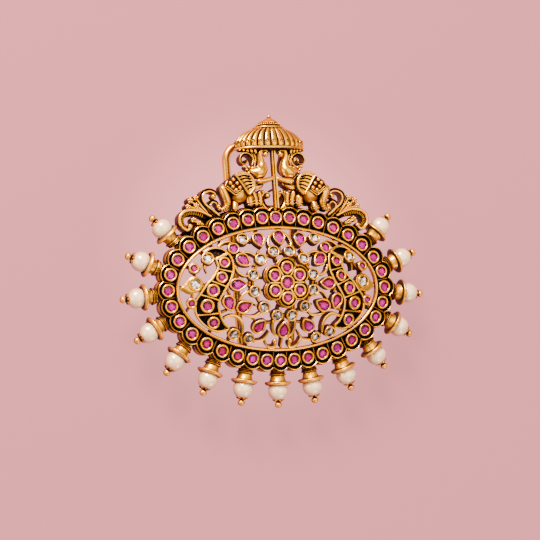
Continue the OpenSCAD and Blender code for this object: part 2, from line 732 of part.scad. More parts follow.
// Ribbed awning: rows of points up the canopy, each row an arch of lobes on a flat back
module canopy_dome() {
    steps = 2 * canopy_lobes;
    row_n = steps + 1;
    rows = len(CANOPY_ROWS);
    points = [for (row = CANOPY_ROWS, k = [0:steps])
        let (ridge = k % 2 == 0 ? 0.93 : 1, t = 180 - 180 * k / steps)
        [
            canopy_w * row[1] * ridge * cos(t),
            row[0],
            CANOPY_BACK + CANOPY_DEPTH * row[2] * ridge * sin(t)
        ]];
    polyhedron(points, concat(
        [for (j = [0:rows - 2], k = [0:steps - 1]) each [
            [j * row_n + k, (j + 1) * row_n + k, (j + 1) * row_n + k + 1],
            [j * row_n + k, (j + 1) * row_n + k + 1, j * row_n + k + 1]
        ]],
        [for (j = [0:rows - 2]) [(j + 1) * row_n, j * row_n, j * row_n + steps, (j + 1) * row_n + steps]],
        [[for (k = [0:steps]) k]],
        [[for (k = [steps:-1:0]) (rows - 1) * row_n + k]]
    ));
}

module fork_saddle() {
    difference() {
        translate([-SADDLE_W / 2, FORK_Y - 1.2, wire_d * 0.55])
            cube([SADDLE_W, 2.8, face_z - SADDLE_DROP - wire_d * 0.55]);
        translate([-5, FORK_Y, wire_d / 2])
            rotate([0, 90, 0])
                cylinder(h = 10, r = wire_d / 2 + play, $fn = 32);
        translate([-5, FORK_Y - wire_d / 2 - play, -1])
            cube([10, wire_d + 2 * play, 1 + wire_d / 2]);
    }
}

module peacock_right() color("gold") placed() in_crest() {
    pillow(PEACOCK_BODY, -1.6, 1.8, 3.2);
    translate([2.3, 38, -0.4]) cylinder(h = 3.8, r = 1, $fn = 16);
    translate([0, 0, -1.4]) linear_extrude(3.4) polygon(ribbon(PEACOCK_TAIL, 0.9));
}

module peacock_left() color("gold") mirror([1, 0, 0]) peacock_right();

module elephant_right() color("gold") placed() in_crest() {
    pillow(ELEPHANT_BODY, -2.6, 1.4, 3, 0.7);
    pillow(ELEPHANT_EAR, -1, 2.8, 3.4, 0.8);
    pillow(ELEPHANT_CLOTH, -1, 2.8, 3.3, 0.8);
    translate([0, 0, -2.2]) linear_extrude(4.2) polygon(ribbon(ELEPHANT_TRUNK, 1.6));
    translate([0, 0, -2.3]) linear_extrude(4) for (s = ELEPHANT_LEGS) polygon(ribbon(s[1], s[0]));
    for (p = CLOTH_STUDS) translate([p[0], p[1], 2.9]) cylinder(h = 0.9, r = 0.5, $fn = 10);
}

module elephant_left() color("gold") mirror([1, 0, 0]) elephant_right();

// Middle line of the fork's right half, from the middle of the bend to the tip
FORK_LEAN = atan((fork_top_x - fork_tip_x) / (FORK_Y - BEND_R - FORK_TIP_Y));
FORK_HALF = concat(
    [[0, FORK_Y]],
    [for (k = [0:6])
        let (t = 90 - (90 + FORK_LEAN) * k / 6)
        [fork_top_x - BEND_R, FORK_Y - BEND_R] + BEND_R * [cos(t), sin(t)]],
    [[fork_tip_x + 0.1, FORK_TIP_Y + 1.5], [fork_tip_x, FORK_TIP_Y]]
);
FORK_SIDES = 12;
function wire_point(k, s) = k * FORK_SIDES + s % FORK_SIDES;

module hair_fork() color("darkgoldenrod") placed() {
    left = [for (k = [len(FORK_HALF) - 1:-1:1]) [-FORK_HALF[k][0], FORK_HALF[k][1]]];
    line = concat(left, FORK_HALF);
    n = len(line);
    points = [for (k = [0:n - 1], s = [0:FORK_SIDES - 1])
        let (
            r = (k == 0 || k == n - 1 ? 0.25 : 0.5) * wire_d / cos(180 / FORK_SIDES),
            side = beside(line, k),
            t = 360 * (s + 0.5) / FORK_SIDES
        )
        [line[k][0] + side[0] * r * cos(t), line[k][1] + side[1] * r * cos(t), wire_d / 2 + r * sin(t)]];
    polyhedron(points, concat(
        [for (k = [0:n - 2], s = [0:FORK_SIDES - 1]) each [
            [wire_point(k, s), wire_point(k, s + 1), wire_point(k + 1, s + 1)],
            [wire_point(k, s), wire_point(k + 1, s + 1), wire_point(k + 1, s)]
        ]],
        [[for (s = [FORK_SIDES - 1:-1:0]) s]],
        [[for (s = [0:FORK_SIDES - 1]) (n - 1) * FORK_SIDES + s]]
    ));
}

// Collars, waist and dish of one drop: distance outward and radius, both from the drop's own axis
module pearl_cup(i) color("goldenrod") placed() at_drop(drop_angle(i))
    difference() {
        rotate_extrude($fn = 40)
            polygon([
                [0, 3.2], [2.4, 3.2], [2.4, 3.5], [2.2, 3.55], [2.2, 3.65], [2.4, 3.7], [2.4, 4], [2, 4.1],
                [2.2, 5], [dish_r, 6.5], [dish_r, 6.9], [dish_r - 0.4, 6.9], [1.6, 5.45], [0, 5.45]
            ]);
        translate([0, 0, 4]) cylinder(h = 3, r = 0.35 + play, $fn = 20);
    }

module pearl(i) color("ivory") placed() at_drop(drop_angle(i))
    difference() {
        translate([0, 0, pearl_out]) sphere(pearl_r, $fn = 48);
        cylinder(h = 20, r = 0.35 + play, $fn = 20);
    }

module end_pin(i) color("goldenrod") placed() at_drop(drop_angle(i))
    rotate_extrude($fn = 24)
        polygon([
            [0, 4.2], [0.35, 4.2], [0.35, 11.4], [1.5, 11.4], [1.5, 11.7], [0.5, 12], [0.8, 12.3], [0.85, 12.6],
            [0.6, PIN_END - 0.2], [0, PIN_END]
        ]);

border_frame();
border_rubies();
lattice();
flower();
round_rubies();
pear_rubies();
clear_stones();
crest_frame();
canopy();
peacock_left();
peacock_right();
elephant_left();
elephant_right();
hair_fork();
for (i = [1:15]) {
    pearl_cup(i);
    pearl(i);
    end_pin(i);
}
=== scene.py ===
"""Dresses the hair brooch: cast and patinated gold work, kemp stones, clear stones and pearl drops.

Lengths are in millimetres in the brooch's own frame: the middle of the oval border at x = y = 0, Z out of
the face, and z = 0 on the surface that the fork lies on. Meshes are turned to metres when they are made.
"""

import logging
import math
from collections.abc import Callable, Sequence
from dataclasses import dataclass, field
from enum import Enum

import bpy
import numpy as np
from mathutils import Matrix, Vector
from mathutils.geometry import delaunay_2d_cdt


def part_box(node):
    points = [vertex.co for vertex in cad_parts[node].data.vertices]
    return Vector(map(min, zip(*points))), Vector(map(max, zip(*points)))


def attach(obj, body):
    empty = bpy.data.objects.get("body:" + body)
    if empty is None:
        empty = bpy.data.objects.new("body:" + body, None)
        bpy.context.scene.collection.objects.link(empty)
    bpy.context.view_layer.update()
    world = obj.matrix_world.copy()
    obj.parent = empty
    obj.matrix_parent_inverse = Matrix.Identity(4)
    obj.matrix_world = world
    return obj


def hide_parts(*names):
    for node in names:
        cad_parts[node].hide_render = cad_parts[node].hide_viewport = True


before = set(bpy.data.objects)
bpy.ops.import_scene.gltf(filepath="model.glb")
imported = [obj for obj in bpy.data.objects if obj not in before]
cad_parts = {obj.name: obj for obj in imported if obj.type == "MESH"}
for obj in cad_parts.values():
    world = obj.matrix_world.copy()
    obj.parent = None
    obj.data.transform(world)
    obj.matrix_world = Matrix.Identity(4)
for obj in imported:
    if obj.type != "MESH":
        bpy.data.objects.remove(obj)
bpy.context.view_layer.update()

log = logging.getLogger("hair_brooch")

MM = 0.001
FACE_Z = 12.0
BORDER_A, BORDER_B = 32.66, 20.1
SCALLOP_R = 2.98
BORDER_T = 3.9
CELL_DEPTH = 1.5
RIM_A, RIM_B, RIM_W = 30.0, 17.1, 0.95
DOME_H, DOME_A, DOME_B, DOME_MID_Y = 4.5, 30.6, 17.9, -0.3
SHEET_T = 1.9
CREST_Y, CREST_DROP, CREST_FALL = 20.0, 1.0, math.radians(5.7)
SCROLL_T = 3.2
FLOWER_Y, FLOWER_TOP = 1.4, 18.9
WIRE_D = 2.2

Profile = Sequence[tuple[float, float, float]]
Points2 = Sequence[tuple[float, float]]
Table = tuple[tuple[float, ...], ...]
Faces = list[tuple[int, ...]]
Array = np.ndarray
Pair = tuple[Array, Array]
Socket = bpy.types.NodeSocket
Material = bpy.types.Material


class Side(Enum):
    """The half of the brooch that a mirrored piece stands on."""

    LEFT = -1
    RIGHT = 1


class StoneCut(Enum):
    """Outline of a cut stone."""

    ROUND = "round"
    PEAR = "pear"


def oval_y() -> float:
    """Returns the frame's Y of the oval's middle, in millimetres, from the lattice's own box."""
    low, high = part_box("lattice")
    return (low.y + high.y) / 2 / MM


OVAL_Y = oval_y()


def linear(hex_colour: str) -> tuple[float, float, float, float]:
    """Turns an sRGB hex colour to the linear colour that Blender's sockets take.

    Args:
        hex_colour: Six hex digits with a leading hash.

    Returns:
        Linear red, green, blue and an alpha of one.
    """
    values = [int(hex_colour[i:i + 2], 16) / 255 for i in (1, 3, 5)]
    low, high = [v / 12.92 for v in values], [((v + 0.055) / 1.055) ** 2.4 for v in values]
    red, green, blue = (a if v <= 0.04045 else b for v, a, b in zip(values, low, high))
    return red, green, blue, 1.0


def add_node(
    tree: bpy.types.NodeTree,
    kind: str,
    settings: dict[str, object] | None = None,
    values: dict[str | int, object] | None = None,
    links: dict[str | int, Socket] | None = None,
) -> bpy.types.Node:
    """Adds one shader node with its settings, plain socket values and links.

    Args:
        tree: Tree that takes the node.
        kind: Blender's type name of the node, after the words ShaderNode.
        settings: Properties of the node itself.
        values: Input sockets, by name or index, set to plain values.
        links: Input sockets, by name or index, fed by other nodes' outputs.

    Returns:
        The new node.
    """
    node = tree.nodes.new(f"ShaderNode{kind}")
    for name, value in (settings or {}).items():
        setattr(node, name, value)
    for name, value in (values or {}).items():
        node.inputs[name].default_value = value
    for name, socket in (links or {}).items():
        tree.links.new(socket, node.inputs[name])
    return node


def ranges(low: float, high: float, to_low: float, to_high: float) -> dict[str, float]:
    """Returns the values of a map range node's sockets."""
    return {"From Min": low, "From Max": high, "To Min": to_low, "To Max": to_high}


class FinishTree:
    """Nodes of one new material, whose patterns follow the piece's own coordinates."""

    def __init__(self, name: str) -> None:
        """Starts an empty material."""
        self.material = bpy.data.materials.new(name)
        self.material.use_nodes = True
        self.tree = self.material.node_tree
        self.tree.nodes.clear()
        self.place = add_node(self.tree, "TexCoord").outputs

    def attribute(self, name: str) -> Socket:
        """Returns the value that the mesh carries under a name."""
        return add_node(self.tree, "Attribute", {"attribute_name": name}).outputs["Fac"]

    def normal_z(self) -> Socket:
        """Returns the part of the piece's own normal that points out of the brooch's face."""
        return add_node(self.tree, "SeparateXYZ", {}, {}, {"Vector": self.place["Normal"]}).outputs["Z"]

    def scaled_place(self, x: float, y: float, z: float) -> Socket:
        """Counts the place on the piece in chosen lengths.

        Args:
            x: Length along X in millimetres.
            y: Length along Y in millimetres.
            z: Length along Z in millimetres.

        Returns:
            The place.
        """
        scale = (1 / (x * MM), 1 / (y * MM), 1 / (z * MM))
        links = {"Vector": self.place["Object"]}
        return add_node(self.tree, "Mapping", {}, {"Scale": scale}, links).outputs["Vector"]

    def noise(self, size: float, detail: float, roughness: float = 0.5) -> Socket:
        """Returns noise whose patches are about a size in millimetres."""
        values = {"Scale": 1 / (size * MM), "Detail": detail, "Roughness": roughness}
        return add_node(self.tree, "TexNoise", {}, values, {"Vector": self.place["Object"]}).outputs["Fac"]

    def remap(self, value: Socket, low: float, high: float, to_low: float, to_high: float) -> Socket:
        """Returns a value carried from one range to another and held inside it."""
        values = ranges(low, high, to_low, to_high)
        return add_node(self.tree, "MapRange", {}, values, {"Value": value}).outputs["Result"]

    def math(self, operation: str, *values: Socket, clamp: bool = False) -> Socket:
        """Returns the result of an operation on values, held between nought and one where asked."""
        settings = {"operation": operation, "use_clamp": clamp}
        return add_node(self.tree, "Math", settings, {}, dict(enumerate(values))).outputs["Value"]

    def ramp(self, value: Socket, *stops: tuple[float, str]) -> Socket:
        """Colours a value.

        Args:
            value: Value from nought to one.
            stops: Position and hex colour of each stop, in rising order.

        Returns:
            The colour.
        """
        node = add_node(self.tree, "ValToRGB", {}, {}, {"Fac": value})
        elements = node.color_ramp.elements
        while len(elements) < len(stops):
            elements.new(0.5)
        for element, (position, colour) in zip(elements, stops):
            element.position = position
            element.color = linear(colour)
        return node.outputs["Color"]

    def bump(self, height: Socket, strength: float, depth: float) -> Socket:
        """Returns the normal of a relief whose depth is in millimetres."""
        values = {"Strength": strength, "Distance": depth * MM}
        return add_node(self.tree, "Bump", {}, values, {"Height": height}).outputs["Normal"]

    def surface(self, values: dict[str, object], links: dict[str, Socket]) -> Material:
        """Finishes the tree with the surface.

        Args:
            values: Plain values of the surface's inputs.
            links: What is linked into its other inputs.

        Returns:
            The material.
        """
        shader = add_node(self.tree, "BsdfPrincipled", {}, values, links)
        add_node(self.tree, "OutputMaterial", {}, {}, {"Surface": shader.outputs["BSDF"]})
        return self.material


@dataclass(frozen=True)
class CastGold:
    """Gold plate on cast brass, its recesses blackened by sulphide and its crowns rubbed bright.

    Cast and tumbled metal has soft edges and a fine skin of pits; rubbing leaves the crowns smooth and
    pale and the hollows dull and nearly black. The colour also carries painted shade: walls, backs of
    bars, sides and corners are painted darker where shade falls, on top of the patina.
    """

    name: str = "antique_gold_cast_brass"
    crown: str = "#FFB016"
    flank: str = "#BC7210"
    hollow: str = "#542206"
    soot_and_shade: str = "#0C0502"
    roughness: float = 0.25
    grain_mm: float = 0.35
    grain: float = 0.14
    side_shade: float = 0.2
    side_dimming: float = 0.3

    def build(self) -> Material:
        """Returns the material, which reads the mesh's 'recess' attribute, patina and painted shade, from
        crown 0 to hollow 1.
        """
        finish = FinishTree(self.name)
        # Patches of rubbing a few millimetres across, as fingers and cloth leave them
        uneven = finish.remap(finish.noise(4.0, 4.0, 0.6), 0.35, 0.65, -0.07, 0.07)
        # Ambient occlusion darkens corners and crevices: painted shade, together with the patina that gathers
        # there
        corners = add_node(finish.tree, "AmbientOcclusion", {"samples": 8}, {"Distance": 1.1 * MM})
        corner_shade_and_patina = finish.remap(corners.outputs["AO"], 0.25, 0.85, 0.55, 0.0)
        # Painted shade: faces turned to the side, away from the front and the back, are painted darker
        facing = finish.math("ABSOLUTE", finish.normal_z())
        side = finish.remap(facing, 0.1, 0.65, self.side_shade, 0.0)
        # Wear patches, the painted side shade and the mesh's patina and painted shade add up to one darkness,
        # which the occlusion deepens
        worn_and_shaded = finish.math("ADD", finish.attribute("recess"), finish.math("ADD", side, uneven))
        soot_and_shade = finish.math("ADD", worn_and_shaded, corner_shade_and_patina, clamp=True)
        stops = (0.0, self.crown), (0.35, self.flank), (0.66, self.hollow), (0.9, self.soot_and_shade)
        # The sides are also made less metallic, so that they reflect less and read darker: part of the
        # painted side shade
        side_metal_cut = finish.remap(facing, 0.1, 0.7, 1.0 - self.side_dimming, 1.0)
        metal = finish.math("MULTIPLY", finish.remap(soot_and_shade, 0.7, 1.0, 1.0, 0.85), side_metal_cut)
        # Casting skin: pits finer than the render shows, drawn a little coarser
        skin = finish.bump(finish.noise(self.grain_mm, 3.0), self.grain, 0.03)
        rough = finish.remap(soot_and_shade, 0.1, 0.95, self.roughness, 0.62)
        # The ramp paints this darkness as colour, from the bright crown to near black
        colour = finish.ramp(soot_and_shade, *stops)
        links = {"Base Color": colour, "Metallic": metal, "Roughness": rough, "Normal": skin}
        return finish.surface({}, links)


@dataclass(frozen=True)
class FoiledStone:
    """Cut glass on foil: flat polished facets, each of which throws back its own share of the light."""

    name: str
    dark: str
    middle: str
    light: str
    flash: str
    ior: float = 1.52
    roughness: float = 0.35
    polish: float = 0.03
    hue_low: float = 0.5
    hue_high: float = 0.5
    cloud: float = 0.12

    def build(self) -> Material:
        """Returns the material, which reads each facet's 'facet' value from dark 0 to flash 1."""
        finish = FinishTree(self.name)
        # Clouding inside the glass, about a millimetre across
        drift = finish.remap(finish.noise(1.1, 2.0), 0.3, 0.7, -self.cloud, self.cloud)
        # The 'facet' value is painted light: the ramp runs from painted shade to a painted flash
        level = finish.math("ADD", finish.attribute("facet"), drift, clamp=True)
        stops = (0.0, self.dark), (0.4, self.middle), (0.75, self.light), (1.0, self.flash)
        # The stones are sorted by size, not by colour: from one to the next the tint drifts a little
        hue = finish.remap(finish.noise(5.0, 0.0), 0.35, 0.65, self.hue_low, self.hue_high)
        links = {"Hue": hue, "Color": finish.ramp(level, *stops)}
        tinted = add_node(finish.tree, "HueSaturation", {}, {"Saturation": 1.0}, links)
        glass = {
            "Roughness": self.roughness, "IOR": self.ior, "Specular IOR Level": 0.15,
            "Coat Weight": self.polish, "Coat Roughness": 0.08,
        }
        return finish.surface(glass, {"Base Color": tinted.outputs["Color"]})


@dataclass(frozen=True)
class PearlCoat:
    """Imitation pearl: a glass bead dipped in fish-scale lacquer, soft in lustre, with a warm body."""

    name: str = "pearl_lacquered_bead"
    body: str = "#FFD2A0"
    pearl_shade: str = "#8E4A1A"

    def build(self) -> Material:
        """Returns the material."""
        finish = FinishTree(self.name)
        # Painted shade: where the pearl's surface turns away from the brooch's face it is painted darker and
        # browner
        share = finish.remap(finish.normal_z(), 0.05, 0.8, 0.95, 0.0)
        colours = {6: linear(self.body), 7: linear(self.pearl_shade)}
        colour = add_node(finish.tree, "Mix", {"data_type": "RGBA"}, colours, {0: share}).outputs[2]
        # Uneven lacquer, a couple of millimetres across
        uneven = finish.bump(finish.noise(2.2, 2.0), 0.04, 0.05)
        lacquer = {
            "Roughness": 0.28, "IOR": 1.6, "Coat Weight": 1.0, "Coat Roughness": 0.04, "Metallic": 0.15,
            "Subsurface Weight": 0.1, "Subsurface Scale": 1.2 * MM,
            "Subsurface Radius": (1.0, 0.75, 0.55), "Sheen Weight": 0.15,
        }
        return finish.surface(lacquer, {"Base Color": colour, "Normal": uneven})


@dataclass(frozen=True)
class PaintedGlowFloor:
    """Matt sheet under the brooch, pale and rosy, with a painted glow: it shines by its own emission,
    brightest in its middle.
    """

    name: str = "floor_painted_glow"
    colour: str = "#6E3038"
    glow_far: str = "#BE767A"
    glow_near: str = "#EE9C9C"
    glow_strength: float = 2.0
    glow_reach: float = 62.0

    def build(self) -> Material:
        """Returns the material."""
        finish = FinishTree(self.name)
        # Painted light: no lamp lies below the sheet; it glows by its own emission, brightest under the
        # brooch and falling off over the reach
        links = {"Vector": finish.scaled_place(self.glow_reach, self.glow_reach, self.glow_reach)}
        ball = add_node(finish.tree, "TexGradient", {"gradient_type": "SPHERICAL"}, {}, links)
        near = add_node(
            finish.tree, "MapRange", {"interpolation_type": "SMOOTHSTEP"}, ranges(0.15, 0.75, 0.0, 1.0),
            {"Value": ball.outputs["Fac"]},
        )
        glow = finish.ramp(near.outputs["Result"], (0.0, self.glow_far), (1.0, self.glow_near))
        sheet = {
            "Base Color": linear(self.colour), "Roughness": 0.85, "Specular IOR Level": 0.2,
            "Emission Strength": self.glow_strength,
        }
        return finish.surface(sheet, {"Emission Color": glow})


@dataclass(frozen=True)
class DrawnWire:
    """Gold-plated drawn brass wire, polished but plain, with fine drawing lines along it."""

    name: str = "fork_wire_drawn_brass"
    crown: str = "#FFB43A"
    shade: str = "#D08A20"

    def build(self) -> Material:
        """Returns the material."""
        finish = FinishTree(self.name)
        # Drawing lines run along the wire; drawn coarser than the real hair-fine ones
        links = {"Vector": finish.scaled_place(0.25, 6, 0.25)}
        lines = add_node(finish.tree, "TexNoise", {}, {"Scale": 1.0, "Detail": 3.0}, links).outputs["Fac"]
        colour = finish.ramp(lines, (0.3, self.shade), (0.65, self.crown))
        links = {"Base Color": colour, "Normal": finish.bump(lines, 0.15, 0.02)}
        return finish.surface({"Metallic": 1.0, "Roughness": 0.28}, links)


def flipped(faces: Faces) -> Faces:
    """Returns faces that look the other way."""
    return [face[::-1] for face in faces]


@dataclass
class Shape:
    """Faces gathered for one piece, in millimetres of the brooch's own frame."""

    points: list[Array] = field(default_factory=list)
    faces: Faces = field(default_factory=list)
    recess: list[Array] = field(default_factory=list)
    facet: list[float] = field(default_factory=list)
    count: int = 0

    def add(self, points: Array, faces: Faces, recess: Array | float = 0.0, facet: float = 0.5) -> None:
        """Adds points and the faces between them.

        Args:
            points: One row of x, y, z for each point.
            faces: Indices into points.
            recess: How dark each point is painted, from crown 0 to hollow 1: the patina of the hollows
                together with painted shade.
            facet: Painted brightness of the faces, for stones: their painted light and shade.
        """
        self.points.append(np.asarray(points, float))
        self.recess.append(np.broadcast_to(np.asarray(recess, float), (len(points),)))
        self.faces += [tuple(self.count + i for i in f) for f in faces]
        self.facet += [facet] * len(faces)
        self.count += len(points)

    def mirrored(self) -> "Shape":
        """Returns the same shape on the other half of the brooch."""
        points = [rows * np.array([-1.0, 1.0, 1.0]) for rows in self.points]
        return Shape(points, flipped(self.faces), list(self.recess), list(self.facet), self.count)

    def join(self, other: "Shape") -> None:
        """Takes in all of another shape's faces."""
        self.points += other.points
        self.recess += other.recess
        self.faces += [tuple(self.count + i for i in f) for f in other.faces]
        self.facet += other.facet
        self.count += other.count

    def to_object(
        self, name: str, material: Material, nodes: Sequence[str], slot: str, smooth: float = 40.0,
    ) -> bpy.types.Object:
        """Makes the Blender object, which stands for the named nodes of the frame.

        Args:
            name: Name of the piece.
            material: Finish of the piece.
            nodes: Nodes of the frame that the piece replaces.
            slot: Material slot of the record; not used.
            smooth: Angle in degrees above which an edge stays sharp, or zero for flat faces.

        Returns:
            The object, riding on the brooch.
        """
        place = (np.concatenate(self.points) + np.array([0.0, OVAL_Y, 0.0])) * MM
        mesh = bpy.data.meshes.new(name)
        mesh.from_pydata(place.tolist(), [], self.faces)
        mesh.update()
        shades = (("recess", "POINT", np.concatenate(self.recess)), ("facet", "FACE", self.facet))
        for label, domain, values in shades:
            data = mesh.attributes.new(label, "FLOAT", domain).data
            data.foreach_set("value", np.array(values, np.float32))
        if smooth:
            mesh.shade_smooth()
            mesh.set_sharp_from_angle(angle=math.radians(smooth))
        mesh.materials.append(material)
        piece = bpy.data.objects.new(name, mesh)
        bpy.context.scene.collection.objects.link(piece)
        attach(piece, "root")
        if nodes:
            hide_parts(*nodes)
        log.info("%s: %d faces", name, len(self.faces))
        return piece


@dataclass
class MetalPiece:
    """A metal piece that stands for one node, modelled on the right where it has a twin."""

    name: str = ""
    node: str = ""
    slot: str = "antique_gold"
    smooth: float = 40.0
    side: Side = Side.RIGHT

    def fill(self, shape: Shape) -> None:
        """Adds all of the piece's metal to a shape."""
        raise NotImplementedError

    def build(self, metal: Material) -> bpy.types.Object:
        """Makes the piece, mirrored where it stands on the left.

        Args:
            metal: Finish of the piece.

        Returns:
            The piece's object.
        """
        shape = Shape()
        self.fill(shape)
        if self.side is Side.LEFT:
            shape = shape.mirrored()
        return shape.to_object(self.name, metal, [self.node], self.slot, self.smooth)


Surface = Callable[[Array], Pair]


def direction(degrees: float) -> Array:
    """Returns the unit direction in a plane at an angle in degrees."""
    return oval(1.0, 1.0, degrees)


def distances(line: Array) -> Array:
    """Returns each point's distance along a line from its start."""
    return np.concatenate([[0.0], np.cumsum(np.linalg.norm(np.diff(line, axis=0), axis=1))])


def raised(xy: Array, z: float) -> Array:
    """Returns rows of x and y with one height added to them."""
    return np.column_stack([xy, np.full(len(xy), z)])


def on_dome(xy: Array) -> Pair:
    """Returns the places on the lattice's dome, and the dome's normals there."""
    x, y = xy[:, 0], xy[:, 1] - DOME_MID_Y
    height = DOME_H * np.maximum(0.0, 1 - (x / DOME_A) ** 2 - (y / DOME_B) ** 2)
    slope = np.column_stack([2 * DOME_H * x / DOME_A ** 2, 2 * DOME_H * y / DOME_B ** 2, np.ones(len(xy))])
    return np.column_stack([xy, FACE_Z + height]), slope / np.linalg.norm(slope, axis=1)[:, None]


def on_face(xy: Array) -> Pair:
    """Returns the places on the flat of the border, and its normals."""
    return raised(xy, FACE_Z), np.tile([0.0, 0.0, 1.0], (len(xy), 1))


def on_crest(xy: Array) -> Pair:
    """Returns the places on the crest's plane, which falls back from the border, and its normals."""
    fall_cos, fall_sin = math.cos(CREST_FALL), math.sin(CREST_FALL)
    reach = xy[:, 1] - CREST_Y
    place = np.column_stack([xy[:, 0], CREST_Y + reach * fall_cos, FACE_Z - CREST_DROP - reach * fall_sin])
    return place, np.tile([0.0, fall_sin, fall_cos], (len(xy), 1))


@dataclass(frozen=True)
class Spot:
    """A place on the work with its own axes: a length, a width and a way out of the surface."""

    at: Array
    axes: Array

    @staticmethod
    def on(surface: Surface, x: float, y: float, turn: float = 0.0, lift: float = 0.0) -> "Spot":
        """Finds the spot at x and y of a surface.

        Args:
            surface: Surface that carries the spot.
            x: Place across the brooch.
            y: Place up the brooch.
            turn: Direction of the spot's length, in degrees from X.
            lift: Height above the surface.

        Returns:
            The spot.
        """
        place, normal = surface(np.array([[x, y]]))
        out = normal[0]
        run = np.array([*direction(turn), 0.0])
        run -= out * run.dot(out)
        run /= np.linalg.norm(run)
        return Spot(place[0] + out * lift, np.array([run, np.cross(out, run), out]))

    @staticmethod
    def facing(at: Sequence[float], out: Sequence[float], run: Sequence[float] = (0.0, 0.0, 1.0)) -> "Spot":
        """Finds the spot at a point that faces a given way.

        Args:
            at: The point.
            out: Direction of the way out.
            run: Direction that the spot's length is nearest to.

        Returns:
            The spot.
        """
        z = np.asarray(out, float) / np.linalg.norm(out)
        x = np.asarray(run, float) - z * np.dot(run, z)
        x /= np.linalg.norm(x)
        return Spot(np.asarray(at, float), np.array([x, np.cross(z, x), z]))

    @staticmethod
    def upright(x: float, y: float, z: float) -> "Spot":
        """Returns the spot at a point whose way out is the brooch's own."""
        return Spot.facing([x, y, z], [0, 0, 1], [1, 0, 0])

    def place(self, local: Array) -> Array:
        """Returns rows of the spot's own coordinates as rows of the brooch's."""
        return self.at + local @ self.axes


def even_line(points: Points2, step: float = 0.45, closed: bool = False) -> Array:
    """Runs a smooth curve through points and cuts it to even steps.

    Args:
        points: Rows of coordinates, two or three to a row.
        step: Length of one step.
        closed: True where the last point joins the first.

    Returns:
        Rows of coordinates along the curve.
    """
    p = np.asarray(points, float)
    if closed:
        q, spans = np.vstack([p[-1], p, p[0], p[1]]), len(p)
    else:
        q, spans = np.vstack([2 * p[0] - p[1], p, 2 * p[-1] - p[-2]]), len(p) - 1
    t = np.linspace(0, 1, 12, endpoint=False)[:, None]
    parts = []
    for k in range(spans):
        a, b, c, d = q[k:k + 4]
        parts.append(0.5 * (2 * b + (c - a) * t + (2 * a - 5 * b + 4 * c - d) * t ** 2
                            + (3 * b - a - 3 * c + d) * t ** 3))
    dense = np.vstack([*parts, q[spans + 1][None, :]])
    run = distances(dense)
    stations = np.linspace(0, run[-1], max(round(run[-1] / step), 6 if closed else 2) + 1)
    line = np.column_stack([np.interp(stations, run, dense[:, k]) for k in range(p.shape[1])])
    return line[:-1] if closed else line


def circle(radius: float, count: int = 24) -> Array:
    """Returns a circle's points about the origin."""
    t = np.linspace(0, 2 * math.pi, count, endpoint=False)
    return radius * np.column_stack([np.cos(t), np.sin(t)])


def oval(a: float, b: float, degrees: float) -> Array:
    """Returns the point of an oval at an angle in degrees."""
    return np.array([a * math.cos(math.radians(degrees)), b * math.sin(math.radians(degrees))])


def sideways(line: Array, closed: bool) -> Array:
    """Returns the unit side direction, to the left, at each point of a flat line.

    Args:
        line: Rows of x and y.
        closed: True where the last point joins the first.

    Returns:
        Rows of x and y.
    """
    if closed:
        run = np.roll(line, -1, axis=0) - np.roll(line, 1, axis=0)
    else:
        run = np.gradient(line, axis=0)
    run /= np.maximum(np.linalg.norm(run, axis=1), 1e-9)[:, None]
    return np.column_stack([-run[:, 1], run[:, 0]])


def quads(rows: int, cols: int, close_rows: bool, close_cols: bool) -> Faces:
    """Returns the faces of a grid of points.

    Args:
        rows: Number of rows of points.
        cols: Number of points in a row.
        close_rows: True where the last row joins the first.
        close_cols: True where each row's last point joins its first.

    Returns:
        The faces, row by row.
    """
    last_row, last_col = rows if close_rows else rows - 1, cols if close_cols else cols - 1
    faces = []
    for j in range(last_row):
        low, high = j * cols, (j + 1) % rows * cols
        faces += [(low + k, low + (k + 1) % cols, high + (k + 1) % cols, high + k) for k in range(last_col)]
    return faces


def stacked(rows: int, cols: int) -> Faces:
    """Returns the faces of a stack of closed rings, with a face over the first and one over the last."""
    caps = [tuple(reversed(range(cols))), tuple((rows - 1) * cols + k for k in range(cols))]
    return quads(rows, cols, False, True) + caps


def strap_profile(depth: float, crown: float = 0.2) -> Profile:
    """Returns the section of a cast strap: a rounded crown over straight walls.

    Args:
        depth: Depth of the walls below the surface.
        crown: Height of the crown above the surface.

    Returns:
        Share of the half width, height and shade of each point, once round.
    """
    half = [
        (0.9, -depth, 0.6), (1.0, -depth * 0.6, 0.52), (1.0, -0.34, 0.7), (0.95, -0.12, 0.4),
        (0.78, crown * 0.5, 0.08), (0.4, crown * 0.95, 0.0),
    ]
    return [(-u, v, r) for u, v, r in half] + half[::-1]


